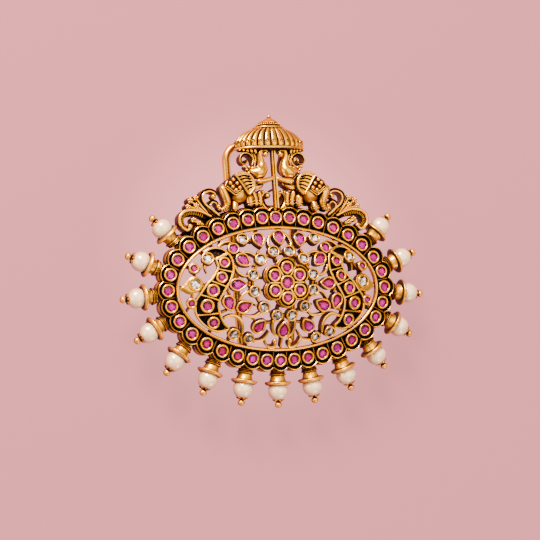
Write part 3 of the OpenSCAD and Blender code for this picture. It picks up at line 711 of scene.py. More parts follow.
def add_strap(
    shape: Shape, line: Array, surface: Surface, width: float | Sequence[float], profile: Profile,
    lift: float = 0.0, closed: bool = False,
) -> None:
    """Lays a strap along a line of a surface, with rounded ends where it is open.

    Args:
        shape: Shape that takes the strap.
        line: Rows of x and y along the strap's middle.
        surface: Surface that the strap lies on.
        width: Width of the strap, or its widths at the start, middle and end.
        profile: Section, as strap_profile gives it.
        lift: Height above the surface.
        closed: True where the strap runs into itself.
    """
    run = distances(line)
    share = run / run[-1]
    widths = [width] * 3 if isinstance(width, (int, float)) else list(width)
    ease = np.ones(len(line))
    if not closed:
        ends = [widths[0] / 2, widths[2] / 2]
        extra = [ends[0] * s for s in (0.1, 0.35, 0.7)] + [run[-1] - ends[1] * s for s in (0.1, 0.35, 0.7)]
        stations = np.unique(np.concatenate([run, extra]))
        line = np.column_stack([np.interp(stations, run, line[:, k]) for k in (0, 1)])
        run, share = stations, stations / stations[-1]
        near = np.minimum(run / max(ends[0], 1e-6), (run[-1] - run) / max(ends[1], 1e-6))
        ease = np.sqrt(1 - (1 - np.clip(near, 0.04, 1)) ** 2)
    half = np.interp(share, np.linspace(0, 1, len(widths)), widths) / 2 * ease
    side = sideways(line, closed)
    rows = []
    for u, v, _ in profile:
        place, normal = surface(line + side * (half * u)[:, None])
        fall = np.where(v > -0.35, 0.35 * (1 - ease), 0.0)
        rows.append(place + normal * (v + lift - fall)[:, None])
    n, m = len(line), len(profile)
    faces = quads(n, m, True, True) if closed else stacked(n, m)
    shades = np.tile([shade for _, _, shade in profile], n)
    shape.add(np.stack(rows, axis=1).reshape(-1, 3), flipped(faces), shades)


def lay(
    shape: Shape, points: Points2, step: float, width: float | Sequence[float], profile: Profile,
    lift: float = 0.0, surface: Surface = on_crest,
) -> None:
    """Lays an open strap, as add_strap does, along a smooth curve through points, cut to even steps."""
    add_strap(shape, even_line(points, step), surface, width, profile, lift)


def footprint(points: Sequence[Sequence[float]]) -> Points2:
    """Returns points without their heights."""
    return [(x, y) for x, y, _ in points]


def dulled(profile: Profile, more: float) -> Profile:
    """Returns a section with more shade on every point."""
    return [(u, v, min(shade + more, 1.0)) for u, v, shade in profile]


def in_one_shade(profile: Profile, shade: float) -> Profile:
    """Returns a section with one shade on every point."""
    return [(u, v, shade) for u, v, _ in profile]


def add_ring(shape: Shape, spot: Spot, outline: Array, profile: Profile) -> None:
    """Stacks rings of an outline, each grown and raised as the profile says, and closes both ends with fans.

    Args:
        shape: Shape that takes the rings.
        spot: Place and axes of the outline.
        outline: Closed outline in the spot's own plane, counter-clockwise.
        profile: Growth outward, height and shade of each ring, from the back to the front.
    """
    side = -sideways(outline, True)
    n, last = len(outline), (len(profile) - 1) * len(outline)
    rows = [raised(outline + side * grow, z) for grow, z, _ in profile]
    hubs = [[*outline.mean(axis=0), z] for _, z, _ in (profile[0], profile[-1])]
    shades = np.append(np.repeat([shade for _, _, shade in profile], n), [profile[0][2], profile[-1][2]])
    faces = quads(len(profile), n, False, True)
    faces += [(last + n, (k + 1) % n, k) for k in range(n)]
    faces += [(last + n + 1, last + k, last + (k + 1) % n) for k in range(n)]
    shape.add(spot.place(np.vstack([*rows, hubs])), faces, shades)


def add_turned(
    shape: Shape, spot: Spot, profile: Profile, count: int = 40, flutes: int = 0, flute: float = 0.0,
) -> None:
    """Turns a profile round the spot's way out.

    Args:
        shape: Shape that takes the turned piece.
        spot: Place and axis.
        profile: Radius, height and shade of each ring; a radius of zero makes a point.
        count: Points round a ring.
        flutes: Number of flutes round it.
        flute: Depth of a flute as a share of the radius.
    """
    t = np.linspace(0, 2 * math.pi, count, endpoint=False)
    wave = 1 - flute * (0.5 - 0.5 * np.cos(flutes * t)) if flutes else np.ones(count)
    hub = np.column_stack([np.cos(t) * wave, np.sin(t) * wave])
    rows = [raised(hub * max(r, 1e-4), z) for r, z, _ in profile]
    # The flutes' hollows are painted darker: painted shade together with patina
    shade = np.concatenate([np.clip(s + (1 - wave) * 2, 0, 1) for _, _, s in profile])
    shape.add(spot.place(np.vstack(rows)), stacked(len(profile), count), shade)


def add_bead(shape: Shape, spot: Spot, radius: float, squash: float = 1.0, count: int = 12) -> None:
    """Sets a small ball on a spot.

    Args:
        shape: Shape that takes the ball.
        spot: Middle of the ball.
        radius: Radius of the ball.
        squash: Height of the ball as a share of its width.
        count: Points round it.
    """
    steps = np.linspace(-90, 90, max(count // 2 + 1, 5))
    rings = [oval(radius, radius * squash, s) for s in steps]
    # Painted shade: the back half of the ball is darker than its front half
    profile = [(r, z, 0.35 if s < 0 else 0.02) for (r, z), s in zip(rings, steps)]
    add_turned(shape, spot, profile, count)


def inset(points: Array, outline: Array) -> Array:
    """Measures how far points lie inside a closed outline.

    Args:
        points: Rows of x and y.
        outline: Rows of x and y of the outline.

    Returns:
        Each point's distance inward, negative outside the outline.
    """
    a, b = outline, np.roll(outline, -1, axis=0)
    span = b - a
    rel = points[:, None, :] - a[None, :, :]
    share = np.clip((rel * span).sum(2) / np.maximum((span ** 2).sum(1), 1e-12), 0, 1)
    gap = np.linalg.norm(rel - share[:, :, None] * span[None, :, :], axis=2).min(axis=1)
    x, y = points[:, 0:1], points[:, 1:2]
    cross = (a[:, 1] > y) != (b[:, 1] > y)
    rise = np.where(np.abs(span[:, 1]) < 1e-12, 1e-12, span[:, 1])
    left = x < a[:, 0] + (y - a[:, 1]) * span[:, 0] / rise
    return np.where((cross & left).sum(1) % 2 == 1, gap, -gap)


Relief = Callable[[Array, Array], Pair]


def add_patch(
    shape: Shape, outline: Array, surface: Surface, relief: Relief, depth: float, step: float,
    wall: float = 0.5,
) -> None:
    """Fills an outline on a surface with a fine net whose heights a relief gives, over straight walls.

    Args:
        shape: Shape that takes the patch.
        outline: Closed outline in x and y.
        surface: Surface that the heights are measured from.
        relief: Gives height and shade from rows of x and y and their distances inward.
        depth: Depth below the surface that the walls and the flat back reach, or zero for none.
        step: Spacing of the net.
        wall: Shade of the walls.
    """
    if np.cross(outline, np.roll(outline, -1, axis=0)).sum() < 0:
        outline = outline[::-1]
    low, high = outline.min(axis=0), outline.max(axis=0)
    row_gap = step * 0.866
    rows, cols = int((high[1] - low[1]) / row_gap) + 2, int((high[0] - low[0]) / step) + 2
    inner = np.array([
        (low[0] + step * (k + 0.5 * (j % 2)), low[1] + row_gap * j) for j in range(rows) for k in range(cols)
    ])
    inner = inner[inset(inner, outline) > step * 0.45]
    n = len(outline)
    dots = [Vector(p) for p in np.vstack([outline, inner]).tolist()]
    net = delaunay_2d_cdt(dots, [], [list(range(n))], 1, 1e-5)
    xy = np.array([tuple(v) for v in net[0]])
    faces = [tuple(f) for f in net[2]]
    a, b, c = (xy[[f[i] for f in faces]] for i in range(3))
    rightly = np.cross(b - a, c - a) > 0
    turned = [f if keep else f[::-1] for f, keep in zip(faces, rightly)]
    distance = np.maximum(inset(xy, outline), 0.0)
    height, shade = relief(xy, distance)
    place, normal = surface(xy)
    shape.add(place + normal * height[:, None], turned, shade)
    if depth:
        place, normal = surface(outline)
        top, _ = relief(outline, np.zeros(n))
        rows = [place + normal * z[:, None] for z in (top, top - 0.3, np.full(n, -depth))]
        shade = np.repeat([wall * 0.6, wall, wall + 0.3], n)
        shape.add(np.vstack(rows), flipped(quads(3, n, False, True)), shade)
        place, normal = surface(xy)
        shape.add(place - normal * depth, flipped(turned), 0.8)


def swell(height: float, reach: float, base: float = 0.0, edge_shade: float = 0.3) -> Relief:
    """Returns the relief of a rounded cushion of metal.

    Args:
        height: Rise of its middle over its edge.
        reach: Distance inward over which it rises.
        base: Height of its edge.
        edge_shade: Shade at its edge.

    Returns:
        The relief.
    """
    def relief(xy: Array, distance: Array) -> Pair:
        """Gives the cushion's height and shade."""
        rise = np.sqrt(np.clip(1 - (1 - np.clip(distance / reach, 0, 1)) ** 2, 0, 1))
        return base + height * rise, edge_shade * (1 - rise) ** 0.8
    return relief


def grained_floor(height: float) -> Relief:
    """Returns the relief of a cell's floor: sunk, black and lightly grained."""
    def relief(xy: Array, distance: Array) -> Pair:
        """Gives the floor's height and shade."""
        grain = np.sin(xy[:, 0] * 9.1 + np.sin(xy[:, 1] * 7.3) * 2) * np.sin(xy[:, 1] * 8.7 + xy[:, 0] * 2.1)
        return height + 0.07 * grain, np.clip(0.95 - 0.35 * np.maximum(grain, 0), 0, 1)
    return relief


def arcs_outline(centres: Array, radius: float, count: int = 9) -> Array:
    """Returns the outer outline of a closed row of overlapping circles.

    Args:
        centres: Middles of the circles, counter-clockwise.
        radius: Radius of all circles.
        count: Points on each arc.

    Returns:
        Rows of x and y, with a cusp between neighbours.
    """
    def meet(a: Array, b: Array) -> Array:
        """Finds the outer meeting point of two neighbouring circles.

        Args:
            a: Middle of the first circle.
            b: Middle of the next one.

        Returns:
            The point.
        """
        gap = b - a
        half = np.linalg.norm(gap) / 2
        out = np.array([gap[1], -gap[0]]) / (2 * half)
        return (a + b) / 2 + out * math.sqrt(max(radius ** 2 - half ** 2, 0.01))
    rows = []
    n = len(centres)
    for i, c in enumerate(centres):
        start, end = meet(centres[i - 1], c) - c, meet(c, centres[(i + 1) % n]) - c
        t0, t1 = math.atan2(start[1], start[0]), math.atan2(end[1], end[0])
        t1 += 2 * math.pi if t1 < t0 else 0
        t = t0 + (t1 - t0) * np.arange(count) / count
        rows.append(c + radius * np.column_stack([np.cos(t), np.sin(t)]))
    return np.vstack(rows)


def pear_outline(radius: float, length: float, count: int = 28) -> Array:
    """Draws a pear with its point towards +X and its middle at the origin.

    Args:
        radius: Half of its width.
        length: Its length.
        count: Points of the outline.

    Returns:
        Rows of x and y, counter-clockwise.
    """
    back = 0.08
    key = [(length / 2, 0.0)]
    key += [(length * (u * (0.5 + back) - back), radius * (1 - u ** 1.7)) for u in (0.86, 0.65, 0.4, 0.18)]
    key += [(length * ((0.5 - back) * math.cos(math.radians(t)) - back), radius * math.sin(math.radians(t)))
            for t in (90, 115, 140, 162)]
    upper = key[1:] + [(-length / 2, 0.0)]
    lower = [(x, -y) for x, y in reversed(key[1:])]
    line = even_line([key[0], *upper, *lower], 0.1, True)
    keep = np.linspace(0, len(line), count, endpoint=False).astype(int)
    return line[keep]


def stone_angle(index: int) -> float:
    """Returns the angle on the oval of a border stone, crowded a little towards the long axis's ends."""
    quarter, rest = divmod(index, 9)
    u = rest / 9
    sway = 8 * math.sin(math.pi * u)
    return 90 - 90 * (quarter + u) + (sway if quarter % 2 == 0 else -sway)


def outward(degrees: float) -> float:
    """Returns the direction square to the border's oval, in degrees, at an angle on it."""
    t = math.radians(degrees)
    return math.degrees(math.atan2(math.sin(t) / BORDER_B, math.cos(t) / BORDER_A))


@dataclass
class StoneSet:
    """Cut stones of one kind, each on its seat: a table, eight main facets and sixteen small ones."""

    name: str
    nodes: tuple[str, ...]
    finish: FoiledStone
    slot: str
    seed: int
    spread: float = 0.25
    sparkle: float = 0.1
    table_value: float = 0.66
    shade_from: tuple[float, float, float] = (-0.5, 0.85, 0.0)
    shape: Shape = field(default_factory=Shape)

    def __post_init__(self) -> None:
        """Seeds the facets' brightness."""
        self.rng = np.random.default_rng(self.seed)

    def add(self, spot: Spot, cut: StoneCut, radius: float, length: float = 0.0) -> None:
        """Sets one stone.

        Args:
            spot: Middle of the stone at the height of its bezel's rim.
            cut: Outline of the stone.
            radius: Radius of the girdle.
            length: Length of a pear.
        """
        if cut is StoneCut.ROUND:
            girdle = circle(radius, 16)
        else:
            girdle = pear_outline(radius, length, 16)
        middle = girdle.mean(axis=0)
        table = middle + (girdle[::2] - middle) * 0.52
        waist = middle + (girdle[1::2] - middle) * 0.8
        rings = ((girdle, -0.62), (girdle, -0.46), (waist, -0.26), (table, -0.14))
        points = np.vstack([raised(ring, z) for ring, z in rings])
        faces: Faces = [(k, (k + 1) % 16, 16 + (k + 1) % 16, 16 + k) for k in range(16)]
        for k in range(8):
            a, b, c = 16 + 2 * k, 16 + 2 * k + 1, 16 + (2 * k + 2) % 16
            m, t0, t1 = 32 + k, 40 + k, 40 + (k + 1) % 8
            faces += [(a, b, m), (b, c, m), (a, m, t0), (m, c, t1), (m, t1, t0)]
        faces += [tuple(range(40, 48)), tuple(reversed(range(16)))]
        centre = points.mean(axis=0)
        # Painted light on the facets: those leaning towards shade_from get painted shade, each a random
        # painted flash, alternate main facets a painted glint or darkening, the table a brighter painted
        # value
        values = []
        for f in faces:
            lean = (points[list(f)].mean(axis=0) - centre) @ spot.axes
            lean /= max(float(np.linalg.norm(lean)), 1e-6)
            own = self.rng.uniform(-self.spread, self.spread)
            values.append(0.45 - 0.3 * float(lean @ self.shade_from) + own)
        for k in range(8):
            for j in (16 + 5 * k, 18 + 5 * k):
                values[j] += self.sparkle * (1 if k % 2 else -1)
        values[-2] = self.table_value + self.rng.uniform(-0.12, 0.12)
        values = np.clip(values, 0, 1).tolist()
        # Separate points for each facet keep its edges sharp
        for face, value in zip(faces, values):
            self.shape.add(spot.place(points[list(face)]), [tuple(range(len(face)))], 0.0, float(value))

    def build(self) -> bpy.types.Object:
        """Makes the stones' object."""
        return self.shape.to_object(self.name, self.finish.build(), self.nodes, self.slot, smooth=0)


def bezel_profile(width: float, depth: float) -> Profile:
    """Returns a bezel's section from its foot over its round rim to the stone's seat.

    Args:
        width: Breadth of the metal round the stone.
        depth: Depth of the outer wall.

    Returns:
        Growth from the girdle, height and shade of each ring.
    """
    foot = [(width, -depth, 0.9), (width, -depth * 0.5, 0.75)]
    wall = [(width + 0.03, -0.42, 0.5), (width + 0.03, -0.17, 0.28)]
    crown = [(0.93, 0.0, 0.1), (0.7, 0.1, 0.0), (0.4, 0.11, 0.0), (0.14, 0.04, 0.14)]
    seat = [(-0.04, -0.08, 0.45), (-0.08, -0.25, 0.9), (-0.1, -0.66, 1.0)]
    return [*foot, *wall, *((width * share, z, shade) for share, z, shade in crown), *seat]


Seat = tuple[Spot, float, float]


def add_bezels(shape: Shape, seats: Sequence[Seat], depth: float) -> None:
    """Adds a round bezel on each seat: a spot, the bezel's radius and its stone's radius."""
    for spot, bezel, stone in seats:
        add_ring(shape, spot, circle(stone, 32), bezel_profile(bezel - stone, depth))


@dataclass
class BorderFrame(MetalPiece):
    """Scalloped border: a tray of dark cells, one round each stone, with thin walls and round bezels."""

    name: str = "border_frame_cast"
    node: str = "border_frame"
    bezel_r: float = 1.85
    ruby_r: float = 1.32
    tilt: float = 8.0
    stones: int = 36
    cell_gap: float = 0.3
    back_gap: float = 1.0

    def seats(self) -> list[Seat]:
        """Returns each stone's seat, leaning outward."""
        found = []
        for degrees in map(stone_angle, range(self.stones)):
            away, lean = direction(outward(degrees)), math.radians(self.tilt)
            out = [*away * math.sin(lean), math.cos(lean)]
            spot = Spot.facing([*oval(BORDER_A, BORDER_B, degrees), FACE_Z], out, [*away, 0.0])
            found.append((spot, self.bezel_r, self.ruby_r))
        return found

    def fill(self, shape: Shape) -> None:
        """Adds the tray, the bezels and the low walls between the cells."""
        angles = [stone_angle(i) for i in range(self.stones + 1)]
        centres = np.array([oval(BORDER_A, BORDER_B, t) for t in reversed(angles[:-1])])
        self.add_tray(shape, arcs_outline(centres, SCALLOP_R, 10))
        add_bezels(shape, self.seats(), 2.1)
        for first, last in zip(angles, angles[1:]):
            self.add_divider(shape, (first + last) / 2)

    def add_tray(self, shape: Shape, outline: Array) -> None:
        """Adds the walls, the cells' floor and the flat back round the oval opening.

        Args:
            shape: Shape that takes the tray.
            outline: Scalloped outline, counter-clockwise.
        """
        n = len(outline)
        side = -sideways(outline, True)
        low, floor = FACE_Z - BORDER_T, FACE_Z - CELL_DEPTH
        rows = [
            (0.1, low, 0.7), (0.25, low + 0.15, 0.5), (0.25, floor - 0.25, 0.3), (0.2, floor - 0.05, 0.15),
            (0.0, floor, 0.75), (0.0, FACE_Z - 0.25, 0.5), (-0.04, FACE_Z - 0.05, 0.12),
            (-0.15, FACE_Z + 0.02, 0.04), (-0.27, FACE_Z - 0.05, 0.2), (-0.33, FACE_Z - 0.25, 0.75),
            (-0.33, floor - 0.1, 1.0),
        ]
        points = np.vstack([raised(outline + side * grow, z) for grow, z, _ in rows])
        shape.add(points, quads(len(rows), n, False, True), np.repeat([s for _, _, s in rows], n))
        turn = np.arctan2(outline[:, 1] / BORDER_B, outline[:, 0] / BORDER_A)
        shares = (0, 0.25, 0.5, 0.75, 1)

        def sheet(edge: Array, gap: float, z: float) -> Array:
            """Returns the points of a flat ring from an edge to the opening, which is grown by a gap."""
            inner = np.column_stack([(RIM_A + gap) * np.cos(turn), (RIM_B + gap) * np.sin(turn)])
            return np.vstack([raised(edge + (inner - edge) * s, z) for s in shares])

        faces = quads(len(shares), n, False, True)
        rng = np.random.default_rng(7)
        cells = sheet(outline - side * 0.3, self.cell_gap, floor)
        cells[:, 2] += rng.uniform(-0.05, 0.05, len(cells))
        shape.add(cells, faces, np.clip(0.97 + rng.uniform(-0.2, 0.1, len(cells)), 0, 1))
        shape.add(sheet(outline + side * 0.1, self.back_gap, low), flipped(faces), 0.6)

    def add_divider(self, shape: Shape, degrees: float) -> None:
        """Adds the low wall between two cells.

        Args:
            shape: Shape that takes the wall.
            degrees: Angle of the wall on the oval.
        """
        middle, away = oval(BORDER_A, BORDER_B, degrees), direction(outward(degrees))
        line = np.array([middle + away * reach for reach in (-2.5, -1.0, 0.6, 1.5)])
        half = [(1.0, -CELL_DEPTH, 1.0), (1.0, -0.2, 0.85), (0.5, 0.0, 0.45)]
        profile = [(-u, v, shade) for u, v, shade in half] + half[::-1]
        add_strap(shape, line, on_face, 0.34, profile, lift=-0.6)


@dataclass
class LatticePanel(MetalPiece):
    """Domed openwork panel: scrolls, bezels, a paisley of dark cells on each side and the bright oval rim."""

    name: str = "lattice_panel_cast"
    node: str = "lattice"
    rubies: Table = (
        (25.3, 5.95, 1.5, 0.9), (26.4, -3.65, 1.5, 0.9), (16.8, 7.4, 1.6, 1.05), (17.9, 3.3, 1.65, 1.05),
        (20.45, -0.26, 1.85, 1.2), (22.1, -4.45, 1.95, 1.3), (20.3, -9.1, 1.75, 1.2),
        (13.8, 11.25, 1.7, 1.2),
    )
    clears: Table = (
        (21.3, 8.65, 1.8, 1.27), (25.2, 1.6, 1.95, 1.5), (10.8, 13.9, 1.75, 1.27), (2.35, 10.3, 1.72, 1.25),
        (6.4, 8.1, 1.72, 1.25), (9.0, 3.75, 1.72, 1.25), (8.75, -0.75, 1.72, 1.25), (6.1, -5.2, 1.72, 1.25),
        (2.2, -7.55, 1.72, 1.25), (10.0, -13.7, 1.55, 1.08), (14.4, -12.4, 1.75, 1.28),
    )
    pears: Table = (
        (6.15, 13.6, -101, 3.75), (11.4, 7.9, -141, 3.85), (13.4, 1.2, 180, 4.15), (16.1, -3.9, -108, 3.85),
        (11.7, -4.85, 155, 4.15), (7.25, -10.4, 128, 3.95),
    )
    middle_pears: Table = ((0, 14.2, -90, 3.85), (0, -11.5, 90, 3.95))
    pear_r: float = 1.38
    seat_rise: float = 0.5
    paisley: Points2 = (
        (15.6, 10), (14.7, 8.6), (14.4, 6.8), (14.6, 4.7), (15.5, 2.6), (16.5, 0.8), (18.7, -2.9),
        (18.9, -4.9), (18.5, -7.1), (17.4, -9.3), (15.9, -10.9), (18.1, -11.6), (19.8, -11.4),
        (22.3, -10.1), (24.1, -8.4), (25.1, -6.7), (25.4, -4.9), (25.2, -3), (24, -1.2), (22.1, 1.4),
        (20.8, 2.7), (19.6, 4.3), (18.6, 6.3), (18.9, 8.4), (17.3, 9.2),
    )
    paisley_head: Points2 = (
        (15.6, 10), (17, 11.2), (18.8, 11.6), (20.5, 11.3), (22, 10.2), (20.6, 9.2), (18.9, 8.4),
        (17.3, 9.2),
    )
    leaf_plate: Points2 = (
        (25.2, 3.9), (26.45, 3.6), (27.45, 2.7), (28.4, 1.5), (29.4, 0.5), (28.1, -0.6), (26.8, -1.2),
        (25.1, -1.0), (23.7, -0.2), (23, 1.5), (23.7, 3.1),
    )
    paisley_bars: tuple[Points2, ...] = (
        ((14.6, 4.7), (18.9, 5.7)), ((16.7, 0.7), (21, 2.5)), ((18.8, -3), (24.2, -1.2)),
        ((18.8, -6.6), (24.8, -7)),
    )
    scrolls: tuple[tuple[tuple[float, float, float], Points2], ...] = (
        ((0.7, 0.75, 0.5), ((18.1, 11.7), (16.6, 13), (14.9, 13.3), (13.8, 12.6))),
        ((0.7, 0.75, 0.6), ((7.5, 8.9), (8.3, 9.5), (9.4, 10.1), (10.8, 10.2), (12.2, 9.5))),
        ((0.8, 0.85, 0.7), ((3, 11.2), (3.4, 12.4), (3.3, 13.4), (2.3, 15.1), (0.4, 16.2))),
        ((0.7, 0.8, 0.6), ((14, 6.6), (13.2, 4.7), (11.9, 3.7), (10.4, 3.5))),
        ((0.7, 0.75, 0.5), ((10.2, -0.7), (11.2, -0.9), (12.3, -1.8), (13.3, -3.3))),
        ((0.7, 0.8, 0.5), ((7.1, -6.6), (8.4, -7.5), (10.2, -7.7), (12.5, -7))),
        ((0.7, 1.15, 0.8),
         ((17.6, -8.1), (15.8, -7.4), (14.1, -7.6), (12.7, -8.8), (12, -10.6), (12, -12.6))),
        ((0.8, 0.8, 0.35), ((8.8, -14.6), (6.4, -14.4), (5.1, -13.2), (4.3, -11.8))),
        ((0.8, 0.9, 0.7), ((3.2, -8.8), (3.3, -11), (2.6, -12.7), (1.4, -13.5))),
        ((0.45, 0.75, 1.2), ((5.4, -14), (4.6, -15.8), (3.2, -16.5), (2.2, -16.1), (2.1, -14.9))),
    )
    spike: Points2 = ((21.9, 7.6), (22.2, 6), (21.9, 4.7))
    hook_ball: tuple[float, float] = (2.3, -14.6)
    struts: Table = (
        (6, 15.6, 6.1, 17.4), (7.6, 13.7, 9.4, 13.9), (11.3, 15, 11.9, 16.4), (9.6, 9.4, 12.6, 10.6),
        (24.2, 5.2, 22.4, 7.8), (26.2, 6.4, 28.4, 7.2), (25.3, 5, 25.2, 3.6), (26.2, -2.6, 26.1, -0.8),
        (26.9, -4.6, 28, -6.6), (28.6, 1, 30.2, 1), (23.5, 1.5, 21.6, 1.9), (21.8, 10, 23.4, 11.6),
        (19.2, 11.4, 20, 13.6), (2.4, 10.2, 6.4, 8.2), (6.4, 8.2, 9.2, 3.8), (9.2, 3.8, 8.9, -0.8),
        (8.9, -0.8, 6.4, -5.2), (6.4, -5.2, 2.4, -7.6), (2, 10, 1.6, 7.6), (8.6, 3.4, 5.6, 3),
        (8.4, -0.6, 5.6, -0.4), (6.1, 11.3, 7.0, 9.6), (2.2, -7, 1.4, -4.6), (10.2, 1.2, 9.2, 3.6),
        (10.2, 1.2, 8.9, -0.8), (10.2, 1.2, 12, 1.2), (15.6, -1.6, 16.6, 0.6), (16.4, -5.8, 18.8, -6.8),
        (8.8, -4.6, 6.6, -5.2), (8.6, 6.4, 7, 7.8), (13.4, 9.4, 14.8, 8.8), (10.1, -13.4, 10.5, -16.3),
        (10.4, -13.4, 14.2, -12.3), (14.6, -12.4, 15.8, -14.6), (14.8, -11.8, 17, -10.8),
        (20.4, -11, 21.2, -12.2), (8.2, -9.2, 9.7, -7.8), (3.2, -9.6, 6.6, -9.8), (17.4, 12.6, 17.2, 14),
    )
    middle_struts: Table = (
        (-2.4, -7.6, 2.4, -7.6), (-2.4, 10.3, 2.4, 10.3), (0, -13.6, 0, -17), (0, 15.8, 0, 17),
        (0, -9.6, 0, -7.4), (0, 12, 0, 10.2),
    )

    def seats(self, table: Table) -> list[Seat]:
        """Returns the seats of a table's round stones on both halves."""
        return [
            (Spot.on(on_dome, side.value * x, y, 0.0, self.seat_rise), bezel, stone)
            for x, y, bezel, stone in table for side in Side
        ]

    def pear_seats(self) -> list[tuple[Spot, float]]:
        """Returns each pear stone's spot, its length along its point, and its length."""
        mirrored = [row for x, y, turn, length in self.pears
                    for row in ((x, y, turn, length), (-x, y, 180 - turn, length))]
        return [
            (Spot.on(on_dome, x, y, turn, self.seat_rise), length)
            for x, y, turn, length in (*self.middle_pears, *mirrored)
        ]

    def fill(self, shape: Shape) -> None:
        """Adds the scrolls, struts, paisleys, leaf plates, bezels and the rim."""
        half = Shape()
        profile = strap_profile(SHEET_T)
        dim = dulled(strap_profile(SHEET_T, 0.05), 0.35)
        for widths, points in self.scrolls:
            lay(half, points, 0.35, widths, profile, 0.1, on_dome)
        lay(half, self.spike, 0.4, [0.95, 0.75, 0.25], dim, -0.3, on_dome)
        add_bead(half, Spot.on(on_dome, *self.hook_ball, 0, 0.05), 0.68, 0.8, 18)
        for target, struts in ((half, self.struts), (shape, self.middle_struts)):
            for x0, y0, x1, y1 in struts:
                lay(target, [(x0, y0), (x1, y1)], 0.5, 0.7, dim, -0.5, on_dome)
        for points in (self.paisley, self.paisley_head):
            line = even_line(points, 0.4, True)
            add_strap(half, line, on_dome, 0.7, profile, 0.12, True)
            add_patch(half, line, on_dome, grained_floor(-0.95), SHEET_T, 0.45)
        for bar in self.paisley_bars:
            lay(half, bar, 0.4, 0.55, profile, 0.06, on_dome)
        # The bright raised leaf that carries the large clear stone
        leaf = even_line(self.leaf_plate, 0.35, True)
        add_patch(half, leaf, on_dome, swell(0.3, 0.9, -0.12, 0.2), SHEET_T, 0.35)
        shape.join(half)
        shape.join(half.mirrored())
        add_bezels(shape, self.seats(self.rubies) + self.seats(self.clears), 2.1)
        for spot, length in self.pear_seats():
            add_ring(shape, spot, pear_outline(self.pear_r, length), bezel_profile(0.5, 2.1))
        self.add_rim(shape)

    def add_rim(self, shape: Shape) -> None:
        """Adds the rounded oval rim that stands between the panel and the border."""
        line = np.array([oval(RIM_A, RIM_B, 360 * k / 220) for k in range(220)])
        profile = [
            (-2.3, -BORDER_T, 0.8), (-1.0, -1.6, 0.8), (-1.0, -0.3, 0.6), (-0.98, 0.1, 0.3),
            (-0.8, 0.4, 0.08), (-0.4, 0.62, 0.0), (0.0, 0.68, 0.0), (0.4, 0.62, 0.0), (0.8, 0.4, 0.08),
            (0.98, 0.1, 0.3), (1.0, -0.3, 0.45), (0.7, -1.0, 0.6), (-2.0, -BORDER_T, 0.6),
        ]
        add_strap(shape, line, on_face, RIM_W, profile, 0.0, True)


@dataclass
class FlowerBoss(MetalPiece):
    """Raised flower: six scalloped cells round a large stone, on a plate that stands off the dome."""

    name: str = "flower_boss_cast"
    node: str = "flower"
    petal_r: float = 2.75
    petal_out: float = 4.25
    base_z: float = FACE_Z + DOME_H - 1.05 + 0.12
    seat_z: float = FLOWER_TOP + 0.15
    cell_depth: float = 1.2

    def petals(self) -> list[Array]:
        """Returns the middles of the six outer cells, measured from the flower's own."""
        return [oval(self.petal_out, self.petal_out, 60 * k + 90) for k in range(6)]

    def seats(self) -> list[Seat]:
        """Returns the seats of the middle stone and the six round it."""
        outer = [(Spot.upright(x, FLOWER_Y + y, self.seat_z), 1.85, 1.25) for x, y in self.petals()]
        return [(Spot.upright(0, FLOWER_Y, self.seat_z), 2.15, 1.6), *outer]

    def fill(self, shape: Shape) -> None:
        """Adds the scalloped box, the walls between its cells and the bezels."""
        top, floor = FLOWER_TOP, FLOWER_TOP - self.cell_depth
        profile = [
            (-0.1, self.base_z, 0.9), (0.0, self.base_z + 0.1, 0.7), (0.0, floor - 0.3, 0.45),
            (0.12, floor - 0.15, 0.2), (0.12, floor + 0.05, 0.15), (0.0, floor + 0.15, 0.5),
            (0.0, top - 0.2, 0.3), (-0.08, top - 0.03, 0.04), (-0.22, top + 0.03, 0.0),
            (-0.36, top - 0.03, 0.04), (-0.44, top - 0.25, 0.5), (-0.45, floor, 1.0),
            (-1.6, floor + 0.03, 0.95),
        ]
        outline = arcs_outline(np.array(self.petals()), self.petal_r, 18)
        add_ring(shape, Spot.upright(0, FLOWER_Y, 0), outline, profile)
        for k in range(6):
            line = np.array([direction(60 * k + 60) * r + [0, FLOWER_Y] for r in (2.0, 3.5, 5.2)])
            add_strap(shape, line, on_face, 0.42, strap_profile(1.2, 0.0), lift=top - FACE_Z - 0.15)
        add_bezels(shape, self.seats(), 1.3)


